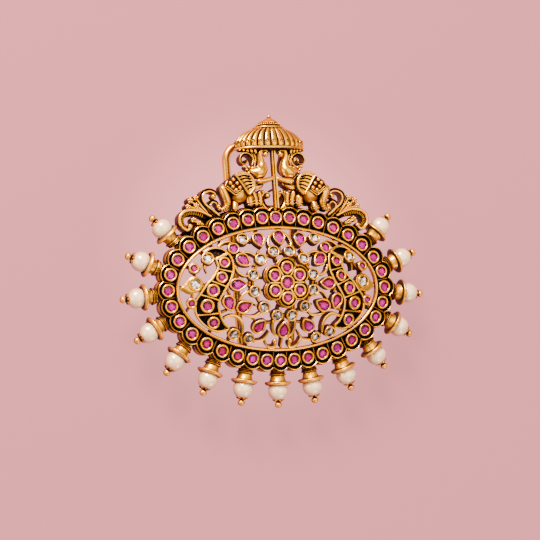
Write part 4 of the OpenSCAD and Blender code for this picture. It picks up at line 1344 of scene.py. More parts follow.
def add_tube(
    shape: Shape, path: Array, radii: Sequence[float], surface: Surface | None = None, flat: float = 1.0,
    count: int = 16, rings: Callable[[float], float] | None = None, shade: float = 0.35,
) -> None:
    """Runs a round bar of changing radius along a path.

    Args:
        shape: Shape that takes the bar.
        path: Rows of x, y and height above the surface, or of x, y, z where no surface is given.
        radii: Radii at even shares of the length.
        surface: Surface that the heights are measured from.
        flat: Height of the section as a share of its width.
        count: Points round a section.
        rings: Gives a factor for the radius from the distance along the path; where the radius is less, the
            bar is painted darker, patina and shade in the grooves.
        shade: Shade of the back of the bar.
    """
    run = distances(path)
    radius = np.interp(run / run[-1], np.linspace(0, 1, len(radii)), radii)
    ease = np.sqrt(1 - (1 - np.clip(np.minimum(run / radius[0], (run[-1] - run) / radius[-1]), 0.06, 1)) ** 2)
    if surface:
        place, normal = surface(path[:, :2])
        place = place + normal * path[:, 2:3]
    else:
        place, normal = path, np.tile([0.0, 0.0, 1.0], (len(path), 1))
    along = np.gradient(place, axis=0)
    along /= np.maximum(np.linalg.norm(along, axis=1), 1e-9)[:, None]
    side = np.cross(normal, along)
    side /= np.maximum(np.linalg.norm(side, axis=1), 1e-9)[:, None]
    out = np.cross(along, side)
    swell_of = np.array([rings(s) if rings else 1.0 for s in run])
    t = np.linspace(0, 2 * math.pi, count, endpoint=False)
    wide = (radius * ease * swell_of)[:, None, None]
    points = place[:, None, :] + wide * (
        side[:, None, :] * np.cos(t)[None, :, None] + out[:, None, :] * (flat * np.sin(t))[None, :, None]
    )
    # Painted shade: the back of the bar is darker, and its grooves darker still
    tone = np.clip(shade * (0.5 - 0.5 * np.sin(t))[None, :] + (1 - swell_of)[:, None] * 5, 0, 1)
    shape.add(points.reshape(-1, 3), flipped(stacked(len(path), count)), tone.reshape(-1))


def ringed(pitch: float, depth: float, start: float = 0.0) -> Callable[[float], float]:
    """Returns the factor for the radius of a bar with narrow grooves.

    Args:
        pitch: Distance from one groove to the next.
        depth: Depth of a groove as a share of the radius.
        start: Distance along the bar where the grooves begin.

    Returns:
        The factor as a function of the distance along the bar.
    """
    def factor(run: float) -> float:
        """Gives the factor at a distance along the bar."""
        if run < start:
            return 1.0
        wave = 0.5 + 0.5 * math.cos(2 * math.pi * (run - start) / pitch)
        return 1.0 - depth * wave ** 4
    return factor


def channel_profile(depth: float, turn: int) -> Profile:
    """Returns the section of a scroll with a bright rounded edge and a dark channel beside it.

    Args:
        depth: Depth of the walls below the surface.
        turn: 1 where the bright edge is on the left of the line, -1 where it is on the right.

    Returns:
        Share of the half width, height and shade of each point, once round.
    """
    rows = [
        (-0.95, -depth, 0.55), (-1.0, -0.7, 0.5), (-0.97, -0.2, 0.55), (-0.72, 0.14, 0.03), (-0.4, 0.18, 0.0),
        (-0.12, 0.06, 0.15), (0.02, -0.25, 0.8), (0.25, -0.55, 1.0), (0.52, -0.5, 0.95), (0.66, -0.22, 0.5),
        (0.82, -0.12, 0.15), (0.97, -0.25, 0.5), (1.0, -0.7, 0.5), (0.95, -depth, 0.55),
    ]
    return rows if turn < 0 else [(-u, v, r) for u, v, r in reversed(rows)]


@dataclass
class CrestScrolls(MetalPiece):
    """Openwork between the border and the figures: scrolls, leaves, bars and the middle post."""

    name: str = "crest_scrolls_cast"
    node: str = "crest_frame"
    channelled: tuple[tuple[float, int, Points2], ...] = (
        (1.5, 1, ((16.4, 20.2), (18.6, 22.0), (20.6, 23.6), (21.5, 25.3), (21.1, 27), (19.3, 27.9),
                  (17.6, 27.5), (16.9, 26.5))),
        (1.3, 1, ((17.6, 21.0), (19.0, 22.4), (19.3, 23.8), (18.2, 24.8), (17, 24.3), (16.9, 23.4))),
        (1.4, -1, ((0.6, 22), (2.6, 23.4), (3.2, 25), (2.9, 26.4), (2.1, 26.9), (1.5, 26.2))),
    )
    feather: Points2 = (
        (18.8, 20.4), (22, 21.9), (24.8, 22.4), (27, 21.8), (28.3, 20.2), (28, 18), (26.4, 16.7),
        (25.2, 17.4),
    )
    plain: tuple[tuple[float, Points2], ...] = (
        (1.1, ((3.5, 22.4), (3.8, 24.4), (3.8, 26.4), (3.8, 28))),
        (0.8, ((2.8, 26.8), (3, 28))),
        (1.0, ((21.4, 18.2), (23.4, 19.2), (25, 19.4))),
    )
    stems: tuple[tuple[Points2, float], ...] = (
        (((19.6, 20.8), (21.6, 22.3), (23.1, 23.6), (24.8, 25.0)), 0.75),
        (((19.9, 21.4), (21.7, 23.6), (23.0, 25.5)), 0.7), (((20, 21), (22.8, 22.6), (25.4, 23.3)), 0.65),
        (((21.2, 18.2), (22.8, 18.8), (24.3, 19.5)), 0.6),
    )
    buds: Table = (
        (24.8, 25.0, 0.95), (23.15, 25.7, 0.85), (25.6, 23.3, 0.85), (23.1, 23.55, 0.9),
        (24.2, 19.55, 0.85), (22.8, 18.7, 0.8),
    )
    balls: Points2 = ((17.95, 26.1), (16.5, 23.3), (25.3, 17.75), (1.6, 26.3))
    ball: Profile = (
        (0.7, -2.2, 0.8), (0.78, -0.4, 0.4), (0.74, 0.05, 0.15), (0.55, 0.4, 0.0), (0.25, 0.56, 0.0),
        (0.0, 0.6, 0.0),
    )
    band_x: float = 27.2
    band_t: float = 1.4
    post_half: Profile = (
        (0.0, 2.2, 0.75), (0.22, 2.46, 0.08), (0.5, 2.5, 0.0), (0.64, 2.25, 0.3), (0.66, 1.4, 0.6),
        (0.62, 0.95, 0.8),
    )

    def fill(self, shape: Shape) -> None:
        """Adds the scrolls, stems, buds, balls and bars on both halves, the middle post and the foot band."""
        half = Shape()
        for width, turn, points in self.channelled:
            lay(half, points, 0.35, [width, width, width * 0.75], channel_profile(SCROLL_T, turn))
        for width, points in self.plain:
            lay(half, points, 0.35, width, strap_profile(SCROLL_T), -0.2)
        for points, width in self.stems:
            dark = in_one_shade(strap_profile(SCROLL_T), 0.85)
            lay(half, points, 0.3, [0.5, width * 1.9, width * 1.4], dark, -0.9)
            lay(half, points, 0.3, [0.35, width, 0.5], strap_profile(1.6, 0.3), -0.25)
        for x, y, radius in self.buds:
            self.add_bud(half, x, y, radius)
        self.add_feather(half)
        for x, y in self.balls:
            add_turned(half, Spot.on(on_crest, x, y, 0, -0.1), self.ball, 16)
        self.add_bars(half)
        shape.join(half)
        shape.join(half.mirrored())
        self.add_post(shape)
        self.add_band(shape)

    def add_bud(self, shape: Shape, x: float, y: float, radius: float) -> None:
        """Adds a small flower of five beads round a middle one, on its own block.

        Args:
            shape: Shape that takes the flower.
            x: Place across the crest.
            y: Place up the crest.
            radius: Reach of the petals.
        """
        block = [(1.0, -SCROLL_T, 0.6), (1.02, -0.9, 0.6), (0.9, -0.35, 0.8), (0.0, -0.3, 0.9)]
        add_turned(shape, Spot.on(on_crest, x, y), [(radius * r, z, s) for r, z, s in block], 16)
        for k in range(5):
            dx, dy = oval(radius * 0.58, radius * 0.58, 72 * k + 90)
            add_bead(shape, Spot.on(on_crest, x + dx, y + dy, 0, -0.1), radius * 0.44, 0.9, 12)
        add_bead(shape, Spot.on(on_crest, x, y, 0, 0.15), radius * 0.36, 1.0, 12)

    def add_feather(self, shape: Shape) -> None:
        """Adds the outer scroll: a bright edge with a row of short teeth inside it."""
        line = even_line(self.feather, 0.35)
        add_strap(shape, line, on_crest, [0.75, 1.0, 0.9], strap_profile(SCROLL_T, 0.3), 0.0)
        side = sideways(line, False)
        run = distances(line)
        under = line - side * 0.9
        dark = in_one_shade(strap_profile(SCROLL_T, 0.0), 0.88)
        add_strap(shape, under[3:], on_crest, [0.8, 1.5, 0.8], dark, -0.75)
        dim = dulled(strap_profile(0.8, 0.1), 0.28)
        for s in np.arange(2.6, run[-1] - 1.4, 0.7):
            at = np.array([np.interp(s, run, line[:, k]) for k in (0, 1)])
            away = -np.array([np.interp(s, run, side[:, k]) for k in (0, 1)])
            tooth = np.array([at + away * r for r in (0.35, 0.75, 1.1, 1.4)])
            add_strap(shape, tooth, on_crest, [0.28, 0.26, 0.2], dim, -0.4)

    def add_bars(self, shape: Shape) -> None:
        """Adds the perch under the peacock, the bar below it and the ties to the elephant."""
        perch = [(0.3, 31.0, 2.1), (2.6, 30.3, 2.2), (5.6, 29.9, 2.3)]
        bar = [(3.3, 29.4, 0.9), (4.6, 28.6, 1.0), (6.8, 28.6, 0.9)]
        add_tube(shape, even_line(perch, 0.4), [0.62, 0.72, 0.78], on_crest)
        lay(shape, footprint(perch), 0.4, 1.1, strap_profile(2.6), 1.3)
        add_tube(shape, even_line(bar, 0.4), [0.5, 0.7, 0.75], on_crest)
        lay(shape, [(2.6, 30.0), (4.6, 28.7), (6.8, 28.6)], 0.4, 1.0, strap_profile(2.8), 0.3)
        lay(shape, [(4.6, 29.9), (6.2, 28.9)], 0.4, 1.2, strap_profile(2.8), 0.8)

    def add_post(self, shape: Shape) -> None:
        """Adds the square middle post with its grooved front and the three blocks across it."""
        for low, high in ((22.0, 23.0), (27.7, 28.3), (30.8, 31.2)):
            line = np.array([(0, low), (0, (low + high) / 2), (0, high)])
            add_strap(shape, line, on_crest, 1.1, strap_profile(SCROLL_T + 1, 0.0), 1.0)
        rows = [(-x, z, shade) for x, z, shade in self.post_half[:0:-1]] + list(self.post_half)
        ys = np.arange(22.4, 39.4, 0.5)
        place, normal = on_crest(np.column_stack([np.zeros(len(ys)), ys]))
        points = place[:, None, :] + np.array([[x, 0, 0] for x, _, _ in rows])[None, :, :]
        points = points + normal[:, None, :] * np.array([z for _, z, _ in rows])[None, :, None]
        shades = np.tile([s for _, _, s in rows], len(ys))
        shape.add(points.reshape(-1, 3), stacked(len(ys), len(rows)), shades)

    def add_band(self, shape: Shape) -> None:
        """Adds the flat foot band under the border that carries the scrolls."""
        first = math.acos(self.band_x / (BORDER_A + 3.6))
        steps = np.linspace(first, math.pi - first, 80)
        top = FACE_Z - BORDER_T - 0.12
        low = top - self.band_t
        rows = []
        for grow, z in ((0.6, low), (3.6, low), (3.6, top), (0.6, top)):
            x, y = (BORDER_A + grow) * np.cos(steps), (BORDER_B + grow) * np.sin(steps)
            rows.append(raised(np.column_stack([x, y]), z))
        points = np.stack(rows, axis=1).reshape(-1, 3)
        shape.add(points, flipped(stacked(80, 4)), 0.6)


@dataclass
class Canopy(MetalPiece):
    """Ribbed awning over the birds, with its rim band, dentils, cone and bead, and the block behind it."""

    name: str = "canopy_cast"
    node: str = "canopy"
    smooth: float = 50.0
    half_w: float = 10.4
    lobes: int = 15
    depth: float = 4.6
    back: float = -0.8
    axis_z: float = 0.8
    rows: Table = (
        (39.9, 0.965, 1.0), (40.2, 0.99, 1.03), (40.7, 1.0, 1.05), (41.3, 0.99, 1.05), (42.0, 0.955, 1.03),
        (42.8, 0.895, 0.99), (43.5, 0.825, 0.95), (44.2, 0.735, 0.9), (44.8, 0.62, 0.84),
        (45.4, 0.465, 0.76), (45.8, 0.38, 0.7),
    )
    strand: Points2 = ((5.6, 34.6), (5.0, 36.4), (5.3, 37.8), (6.0, 39.4))
    saddle_x: float = 3.5
    saddle_y: tuple[float, float] = (40.1, 42.7)
    cone: Profile = (
        (46.7, 2.9, 0.5), (46.8, 3.0, 0.15), (47.05, 2.85, 0.05), (47.4, 2.4, 0.0), (47.75, 1.8, 0.0),
        (48.05, 1.2, 0.1), (48.2, 0.85, 0.5), (48.32, 0.6, 0.8),
    )
    dentils: int = 19
    top_bead_y: float = 48.68

    def at(self, x: float, y: float, z: float) -> Array:
        """Returns the place of crest coordinates and a height off the crest's plane."""
        return Spot.on(on_crest, x, y, 0.0, z).at

    def on_arch(self, t: float, w: float, d: float, y: float) -> Array:
        """Returns the place at an angle on a half-oval arch of a width and a depth, at a height y."""
        return self.at(-w * math.cos(t), y, self.back + d * math.sin(t))

    def fill(self, shape: Shape) -> None:
        """Adds the awning, its tiers, bead row, cone, underside and the block that holds the fork."""
        self.add_awning(shape)
        self.add_tier(shape, 39.2, 39.95, self.half_w + 0.2, self.depth + 0.3, 0.0)
        self.add_tier(shape, 38.75, 39.2, self.half_w - 0.5, self.depth - 0.4, 0.7)
        self.add_tier(shape, 45.3, 45.85, 4.75, self.depth * 0.84, 0.0)
        self.add_tier(shape, 45.85, 46.75, 3.5, self.depth * 0.76, 0.5)
        for k in range(self.dentils):
            t = math.pi * (k + 0.5) / self.dentils
            out = [math.cos(math.pi - t), 0.1, math.sin(t)]
            place = self.on_arch(t, 3.5, self.depth * 0.77, 46.4)
            add_bead(shape, Spot.facing(place, out, [0, 1, 0]), 0.24)
        self.add_cone(shape)
        self.add_underside(shape)
        self.add_saddle(shape)

    def add_awning(self, shape: Shape) -> None:
        """Adds the lobed dome, each lobe with a drop-shaped pit near its foot."""
        fine = 12
        cols, n = self.lobes * fine + 1, len(self.rows)
        points, shades = [], []
        for row, (y, w, d) in enumerate(self.rows):
            # The painted darkness of the grooves, patina and shade, widens upward, where the lobes run
            # together
            soot_and_shade = 1.25 + 0.6 * row / (n - 1)
            for k in range(cols):
                wave = abs(math.sin(math.pi * k / fine))
                grow = 0.9 + 0.1 * wave ** 0.5
                t = math.pi * k / (cols - 1)
                points.append(self.on_arch(t, self.half_w * w * grow, self.depth * d * grow, y))
                shades.append(min(max(soot_and_shade - 2.3 * wave, 0.0), 1.0))
        back = [self.on_arch(t, self.half_w * w, 0.0, y) for y, w, _ in self.rows for t in (0.0, math.pi)]
        shape.add(np.array(points), flipped(quads(n, cols, False, False)), np.array(shades))
        shape.add(np.array(back), [(2 * j, 2 * j + 1, 2 * j + 3, 2 * j + 2) for j in range(n - 1)], 0.6)
        for i in range(self.lobes):
            t = math.pi * (i + 0.5) / self.lobes
            slant = [math.cos(math.pi - t) * self.depth, 0.15 * self.depth, math.sin(t) * self.half_w]
            at = self.on_arch(t, self.half_w * 0.99, self.depth * 1.045, 41.35)
            pit = [(0.6, -0.14, 0.2), (0.5, 0.06, 0.1), (0.4, 0.05, 0.8), (0.0, -0.05, 1.0)]
            add_turned(shape, Spot.facing(at, slant, [0, 1, 0]), pit, 14)

    def add_half_rings(
        self, shape: Shape, points: Sequence[Array], shades: Sequence[float], rows: int,
    ) -> None:
        """Closes stacked half rings of points with a floor, a top and a flat back.

        Args:
            shape: Shape that takes the solid.
            points: Points of all rings, from the lowest ring up.
            shades: Shade of each point.
            rows: Number of rings.
        """
        n = len(points) // rows
        faces = flipped(quads(rows, n, False, False))
        faces += [tuple(range(n)), tuple(reversed(range((rows - 1) * n, rows * n)))]
        faces += [(j * n, (j + 1) * n, (j + 2) * n - 1, (j + 1) * n - 1) for j in range(rows - 1)]
        shape.add(np.array(points), faces, np.array(shades))

    def add_tier(self, shape: Shape, low: float, high: float, w: float, d: float, shade: float) -> None:
        """Adds one half-oval tier with a rounded front edge, between two heights.

        Args:
            shape: Shape that takes the tier.
            low: Height of its foot.
            high: Height of its top.
            w: Half its width.
            d: Its depth from the canopy's back.
            shade: Shade added to all of it.
        """
        rows = [
            (low, 0.96, 0.5), (low + 0.08, 0.985, 0.2), ((low + high) / 2, 1.0, 0.0),
            (high - 0.1, 0.985, 0.1), (high, 0.95, 0.6),
        ]
        angles = [math.pi * k / 60 for k in range(61)]
        points = [self.on_arch(t, w * grow, d * grow, y) for y, grow, _ in rows for t in angles]
        shades = np.repeat([min(s + shade, 1.0) for _, _, s in rows], len(angles))
        self.add_half_rings(shape, points, shades, len(rows))

    def add_cone(self, shape: Shape) -> None:
        """Adds the half-round ribbed cone, its neck and the bead at the top."""
        points, shades = [], []
        for y, radius, shade in self.cone:
            for k in range(61):
                wave = abs(math.sin(math.pi * k / 4))
                grow = 0.96 + 0.04 * wave
                reach = (self.axis_z - self.back + radius * 0.68) * grow
                points.append(self.on_arch(math.pi * k / 60, radius * grow, reach, y))
                shades.append(min(shade + 0.4 * (1 - wave), 1.0))
        self.add_half_rings(shape, points, shades, len(self.cone))
        axis = self.at(0, 47.6, self.axis_z) - self.at(0, 46.6, self.axis_z)
        heights = (48.1, self.top_bead_y)
        neck, top = (Spot.facing(self.at(0, y, self.axis_z), axis, [1, 0, 0]) for y in heights)
        add_turned(shape, neck, [(0.75, -0.6, 0.5), (0.75, 0.05, 0.3), (0.5, 0.2, 0.6)], 16)
        add_bead(shape, top, 0.6, 1.0, 16)

    def add_underside(self, shape: Shape) -> None:
        """Adds the sloping underside, its row of small leaves and the strands that run down to the tails."""
        for side in Side:
            for shift in (0.0, 0.7):
                strand = [(side.value * (x + shift), y) for x, y in self.strand]
                lay(shape, strand, 0.3, 0.5, strap_profile(1.8, 0.15), 1.2)
            for k in range(5):
                x, drop = 5.4 + 1.05 * k, 1.5 - 0.28 * k
                leaf = [(side.value * (x - 0.2), 39.3 - drop), (side.value * (x + 0.15), 39.3)]
                lay(shape, leaf, 0.3, [0.45, 0.85, 0.95], strap_profile(1.6, 0.15), 1.3 + 0.3 * (4 - k))

    def add_saddle(self, shape: Shape) -> None:
        """Adds the block behind the canopy that the fork is soldered into."""
        foot, head = self.saddle_y
        outline = np.array([(-1, foot), (1, foot), (1, head), (-1, head)]) * [self.saddle_x, 1]
        low = WIRE_D * 0.55
        profile = [(0.0, low, 0.6), (0.0, low + 0.3, 0.4), (0.0, FACE_Z - 3.4, 0.6)]
        add_ring(shape, Spot.upright(0, 0, 0), outline, profile)


@dataclass
class Figure(MetalPiece):
    """One of a pair of mirrored figures on the crest."""

    kind: str = ""
    smooth: float = 60.0

    def __post_init__(self) -> None:
        """Names the figure after its kind and its side."""
        self.node = f"{self.kind}_{self.side.name.lower()}"
        self.name = f"{self.node}_cast"


@dataclass
class Peacock(Figure):
    """Bird that faces the middle post: a plump body, a neck curled over to a ball, and a scrolled tail."""

    kind: str = "peacock"
    body: Table = (
        (7.4, 33.3, 1.3), (6.0, 32.7, 1.4), (4.6, 32.6, 1.4), (3.65, 33.5, 1.4), (3.45, 34.7, 1.45),
        (3.65, 35.9, 1.6), (3.85, 37.0, 1.8), (3.85, 38.0, 1.9), (3.45, 38.85, 2.0), (2.6, 39.0, 2.0),
        (2.0, 38.5, 2.0), (1.9, 37.9, 2.0),
    )
    body_radii: tuple[float, ...] = (0.6, 1.2, 1.85, 2.05, 1.85, 1.4, 1.0, 0.8, 0.66, 0.58, 0.55, 0.5)
    tail: Points2 = (
        (6.4, 33.2), (5.7, 34.8), (6.1, 36.8), (7.6, 38), (9, 37.6), (9.6, 36.3), (8.9, 35.2), (7.9, 35.5),
        (7.9, 36.4),
    )
    tail_beads: Profile = (
        (6.3, 33.9, 0.5), (7.3, 34.1, 0.5), (8.0, 33.4, 0.45), (7.5, 32.5, 0.45), (8.6, 34.3, 0.45),
    )

    def fill(self, shape: Shape) -> None:
        """Adds the body with its backing, the head's ball, the tail with its beads, and the wing."""
        add_tube(shape, even_line(self.body, 0.25), self.body_radii, on_crest, 1.0, 20)
        lay(shape, footprint(self.body[:-2]), 0.35, [1.0, 2.4, 0.9], strap_profile(2.6), 0.3)
        add_bead(shape, Spot.on(on_crest, 2.25, 37.7, 0, 2.0), 0.86, 1.0, 18)
        lay(shape, self.tail, 0.3, [1.1, 1.1, 0.6], channel_profile(2.6, 1), 1.3)
        for x, y, radius in self.tail_beads:
            add_bead(shape, Spot.on(on_crest, x, y, 0, 1.5), radius, 0.9)
        lay(shape, [(6.4, 33.6), (7.4, 33.8), (8.4, 34.6)], 0.3, [1.0, 1.2, 0.8], strap_profile(2.6), 1.1)
        self.add_wing(shape)

    def add_wing(self, shape: Shape) -> None:
        """Adds the small engraved wing as three raised strokes with dark gaps."""
        for k, (x, y) in enumerate(((5.0, 33.6), (5.5, 33.1), (6.0, 32.6))):
            path = even_line([(x - 0.5, y + 0.5, 2.95 - 0.1 * k), (x + 0.1, y + 0.25, 2.95 - 0.18 * k),
                              (x + 0.9, y + 0.45, 2.45 - 0.2 * k)], 0.15)
            add_tube(shape, path, [0.12, 0.2, 0.1], on_crest, 0.9, 8, None, 1.0)


@dataclass
class Elephant(Figure):
    """Elephant that walks outward: round belly, ribbed ear, studded saddle cloth, ringed trunk and legs."""

    kind: str = "elephant"
    body: Points2 = (
        (6.9, 27.4), (6.6, 29.6), (7.7, 31.5), (9.7, 32.4), (12.3, 31.6), (14.3, 30.3), (15.7, 28.8),
        (15.5, 27.4), (13.8, 26.2), (13.5, 24.9), (12.3, 23.9), (10.7, 23.6), (9, 24.1), (8, 25.3),
    )
    ear: Points2 = ((12.1, 31.7), (9.9, 32.4), (7.8, 31.7), (6.6, 29.9), (6.8, 27.8), (8.3, 26.1))
    slits: tuple[Points2, ...] = (
        ((7.95, 31.2), (9.5, 31.5), (11.0, 31.15)), ((7.6, 30.5), (9.1, 30.75), (10.55, 30.3)),
        ((7.35, 29.75), (8.7, 29.85), (9.95, 29.3)), ((7.25, 29.0), (8.3, 28.85), (9.35, 28.3)),
        ((7.3, 28.2), (8.1, 27.9), (8.8, 27.35)),
    )
    cloth: Points2 = ((12.4, 31.5), (14.4, 30.2), (15.4, 28.3), (12.3, 25.9), (9.9, 27.4))
    trunk: Table = (
        (15.5, 29.2, 1.2), (15.5, 27.6, 1.4), (14.8, 25.7, 1.3), (14.4, 24.1, 1.0), (14.9, 22.7, 0.7),
        (16.1, 22.3, 0.5), (17.0, 23.0, 0.4),
    )
    legs: tuple[tuple[float, Table], ...] = (
        (1.0, ((11.9, 24.8, 0.2), (12.0, 23.4, 0.7), (12.3, 21.7, 1.2))),
        (1.2, ((7.4, 26.6, 0.4), (7.5, 24.9, 0.4), (7.0, 23.0, 0.2))),
        (0.8, ((6.4, 27.8, 0.2), (5.6, 25.6, 0.1), (5.3, 23.0, 0.0))),
        (0.7, ((4.4, 27.6, 0.1), (4.0, 25.4, 0.0), (4.1, 23.0, -0.1))),
    )
    studs: Points2 = ((13.75, 29.4), (13.1, 28.35), (12.2, 27.4), (11.05, 28.05), (11.8, 29.3), (12.8, 30.35))
    anklets: tuple[float, ...] = (0.35, 0.68)

    def fill(self, shape: Shape) -> None:
        """Adds the body, legs, trunk, ear and cloth."""
        add_patch(shape, even_line(self.body, 0.3, True), on_crest, swell(2.3, 3.6, 0.0, 1.1), 2.6, 0.3)
        for radius, path in self.legs:
            self.add_leg(shape, radius, np.array(path))
        radii = [1.0, 1.2, 1.2, 1.1, 0.95, 0.75, 0.55]
        add_tube(shape, even_line(self.trunk, 0.16), radii, on_crest, 1.0, 18, ringed(0.6, 0.16, 5.4), 0.8)
        lay(shape, footprint(self.trunk), 0.3, [1.6, 1.6, 0.8], strap_profile(2.6), 0.3)
        self.add_ear(shape)
        self.add_cloth(shape)

    def add_leg(self, shape: Shape, radius: float, path: Array) -> None:
        """Adds a leg with its toes' rings, its backing and its anklets.

        Args:
            shape: Shape that takes the leg.
            radius: Radius of the leg at its foot.
            path: Rows of x, y and height along the leg, from the body to the foot.
        """
        rings = ringed(0.62, 0.12, distances(path)[-1] - 1.1)
        radii = [radius * 1.15, radius * 0.95, radius]
        add_tube(shape, even_line(path, 0.2), radii, on_crest, 1.0, 16, rings, 0.8)
        lay(shape, path[:, :2], 0.3, radius * 1.5, strap_profile(2.3), -0.3)
        low, high = path[-1], path[-2]
        across = np.array([high[1] - low[1], low[0] - high[0]])
        across *= 0.9 * radius / np.linalg.norm(across)
        for share in self.anklets:
            x, y, z = low + (high - low) * share
            ends = [[x, y] - across, [x, y] + across]
            lay(shape, ends, 0.3, 0.36, strap_profile(radius, 0.2), z + radius * 0.78)

    def add_ear(self, shape: Shape) -> None:
        """Adds the ribbed ear: slits that run round with its rim, inside a raised edge."""
        rim = even_line(self.ear, 0.3)
        root = even_line([self.ear[-1], self.ear[0]], 0.3)
        outline = np.vstack([rim, root[1:-1]])

        def relief(xy: Array, distance: Array) -> Pair:
            """Gives the ear's height and shade.

            Args:
                xy: Rows of x and y.
                distance: Distance of each inward from the ear's edge.

            Returns:
                Heights and shades.
            """
            cut = np.zeros(len(xy))
            for slit in self.slits:
                line = even_line(slit, 0.1)
                gaps = np.linalg.norm(xy[:, None, :] - line[None, :, :2], axis=2)
                half = np.linspace(0.2, 0.14, len(line))[gaps.argmin(axis=1)]
                cut = np.maximum(cut, np.clip((half - gaps.min(axis=1)) / 0.12 + 0.4, 0, 1))
            base = 2.95 - 0.3 * np.clip(distance / 1.2, 0, 1)
            return base - 0.7 * cut, np.clip(cut * 1.2 + 0.05, 0, 1)

        add_patch(shape, outline, on_crest, relief, 0.0, 0.13)
        add_strap(shape, rim, on_crest, 0.72, strap_profile(2.9, 0.35), 2.75)
        add_strap(shape, root, on_crest, 0.6, strap_profile(1.2, 0.35), 2.85)

    def add_cloth(self, shape: Shape) -> None:
        """Adds the saddle cloth with its double border and its studs."""
        outline = np.vstack([even_line([self.cloth[i], self.cloth[(i + 1) % 5]], 0.3)[:-1] for i in range(5)])

        def relief(xy: Array, distance: Array) -> Pair:
            """Gives the cloth's height and shade."""
            grain = np.sin(xy[:, 0] * 11) * np.sin(xy[:, 1] * 10)
            return 2.5 + 0.25 * np.clip(distance, 0, 1) + 0.05 * grain, np.clip(0.85 + 0.25 * grain, 0, 1)

        add_patch(shape, outline, on_crest, relief, 0.0, 0.25)
        for first, last in ((2, 3), (3, 4)):
            for shift in (0.0, 0.55):
                a, b = np.array(self.cloth[first]), np.array(self.cloth[last])
                run = (b - a) / np.linalg.norm(b - a)
                inward = np.array([run[1], -run[0]]) * shift
                hem = [a + inward + run * shift * 0.6, b + inward - run * shift * 0.6]
                lay(shape, hem, 0.4, 0.38, strap_profile(1.4, 0.2), 2.75)
        lay(shape, [self.cloth[1], self.cloth[2]], 0.4, 0.4, strap_profile(1.4, 0.2), 2.65)
        for x, y in self.studs:
            add_bead(shape, Spot.on(on_crest, x, y, 0, 2.95), 0.55, 1.0, 16)


@dataclass
class PearlDrops:
    """The fifteen drops round the border: a turned cup, a pearl and the pin that holds it."""

    angles: tuple[float, ...] = (33.5, 14.5, -3, -20.5, -39, -57, -74, -90)
    fall: float = 3.0
    pearl_r: float = 2.86
    pearl_out: float = 8.45
    bore_r: float = 0.5
    cup: Profile = (
        (1.1, 2.6, 0.6), (1.7, 2.75, 0.8), (2.05, 2.9, 0.3), (2.15, 3.02, 0.03), (2.05, 3.16, 0.25),
        (1.85, 3.24, 0.95), (2.1, 3.32, 0.35), (2.28, 3.46, 0.0), (2.18, 3.6, 0.25), (1.95, 3.68, 0.95),
        (2.3, 3.78, 0.3), (2.48, 3.94, 0.0), (2.4, 4.1, 0.2), (2.05, 4.2, 0.9), (1.96, 4.3, 0.4),
        (2.0, 4.5, 0.1), (2.08, 4.9, 0.04), (2.2, 5.3, 0.04), (2.35, 5.65, 0.1), (2.42, 5.8, 0.5),
        (2.5, 5.86, 0.9), (3.1, 5.9, 0.2), (3.5, 5.95, 0.1), (3.68, 6.06, 0.1), (3.73, 6.22, 0.0),
        (3.68, 6.42, 0.0), (3.5, 6.66, 0.0), (3.22, 6.86, 0.05), (2.95, 6.98, 0.2), (2.7, 7.02, 0.6),
        (2.58, 6.9, 1.0), (1.6, 5.7, 1.0), (0.4, 5.45, 1.0),
    )
    pin: Profile = (
        (0.34, 4.3, 0.8), (0.34, 11.0, 0.8), (1.35, 11.0, 0.6), (1.7, 10.88, 0.3), (1.78, 11.0, 0.05),
        (1.45, 11.26, 0.03), (0.95, 11.48, 0.15), (0.6, 11.56, 0.7), (0.5, 11.62, 0.95), (0.66, 11.72, 0.6),
        (0.95, 12.0, 0.1), (1.04, 12.4, 0.0), (0.95, 12.78, 0.0), (0.66, 13.06, 0.02), (0.33, 13.22, 0.05),
        (0.0, 13.28, 0.05),
    )

    def angle(self, number: int) -> float:
        """Returns the angle on the oval of a drop, numbered from the upper left round by the bottom."""
        return 180 - self.angles[number - 1] if number <= 8 else self.angles[15 - number]

    def spot(self, number: int) -> Spot:
        """Returns a drop's spot, its way out running square to the border."""
        degrees = self.angle(number)
        place = [*oval(BORDER_A, BORDER_B, degrees), FACE_Z - self.fall]
        return Spot.facing(place, [*direction(outward(degrees)), 0])

    def build(self, metal: Material, lacquer: Material) -> None:
        """Makes the three pieces of each drop.

        Args:
            metal: Finish of the cups and pins.
            lacquer: Finish of the pearls.
        """
        steps = np.radians(np.linspace(-83, 83, 40))
        ball = [(self.pearl_r * math.cos(s), self.pearl_out + self.pearl_r * math.sin(s), 0.0) for s in steps]
        pearl = [(self.bore_r, self.pearl_out - 2.5, 0.0), *ball, (self.bore_r, self.pearl_out + 2.5, 0.0)]
        for number in range(1, 16):
            for node, word, finish, slot, smooth, parts in (
                ("pearl_cup", "turned", metal, "antique_gold", 60, [(self.cup, 48)]),
                ("pearl", "dipped", lacquer, "pearl", 70, [(pearl, 56)]),
                ("end_pin", "turned", metal, "antique_gold", 60,
                 [(self.pin[:2] + self.pin[8:], 24), (self.pin[2:9], 60, 6, 0.26)]),
            ):
                shape = Shape()
                for part in parts:
                    add_turned(shape, self.spot(number), *part)
                shape.to_object(f"{node}_{number}_{word}", finish, [f"{node}_{number}"], slot, smooth)


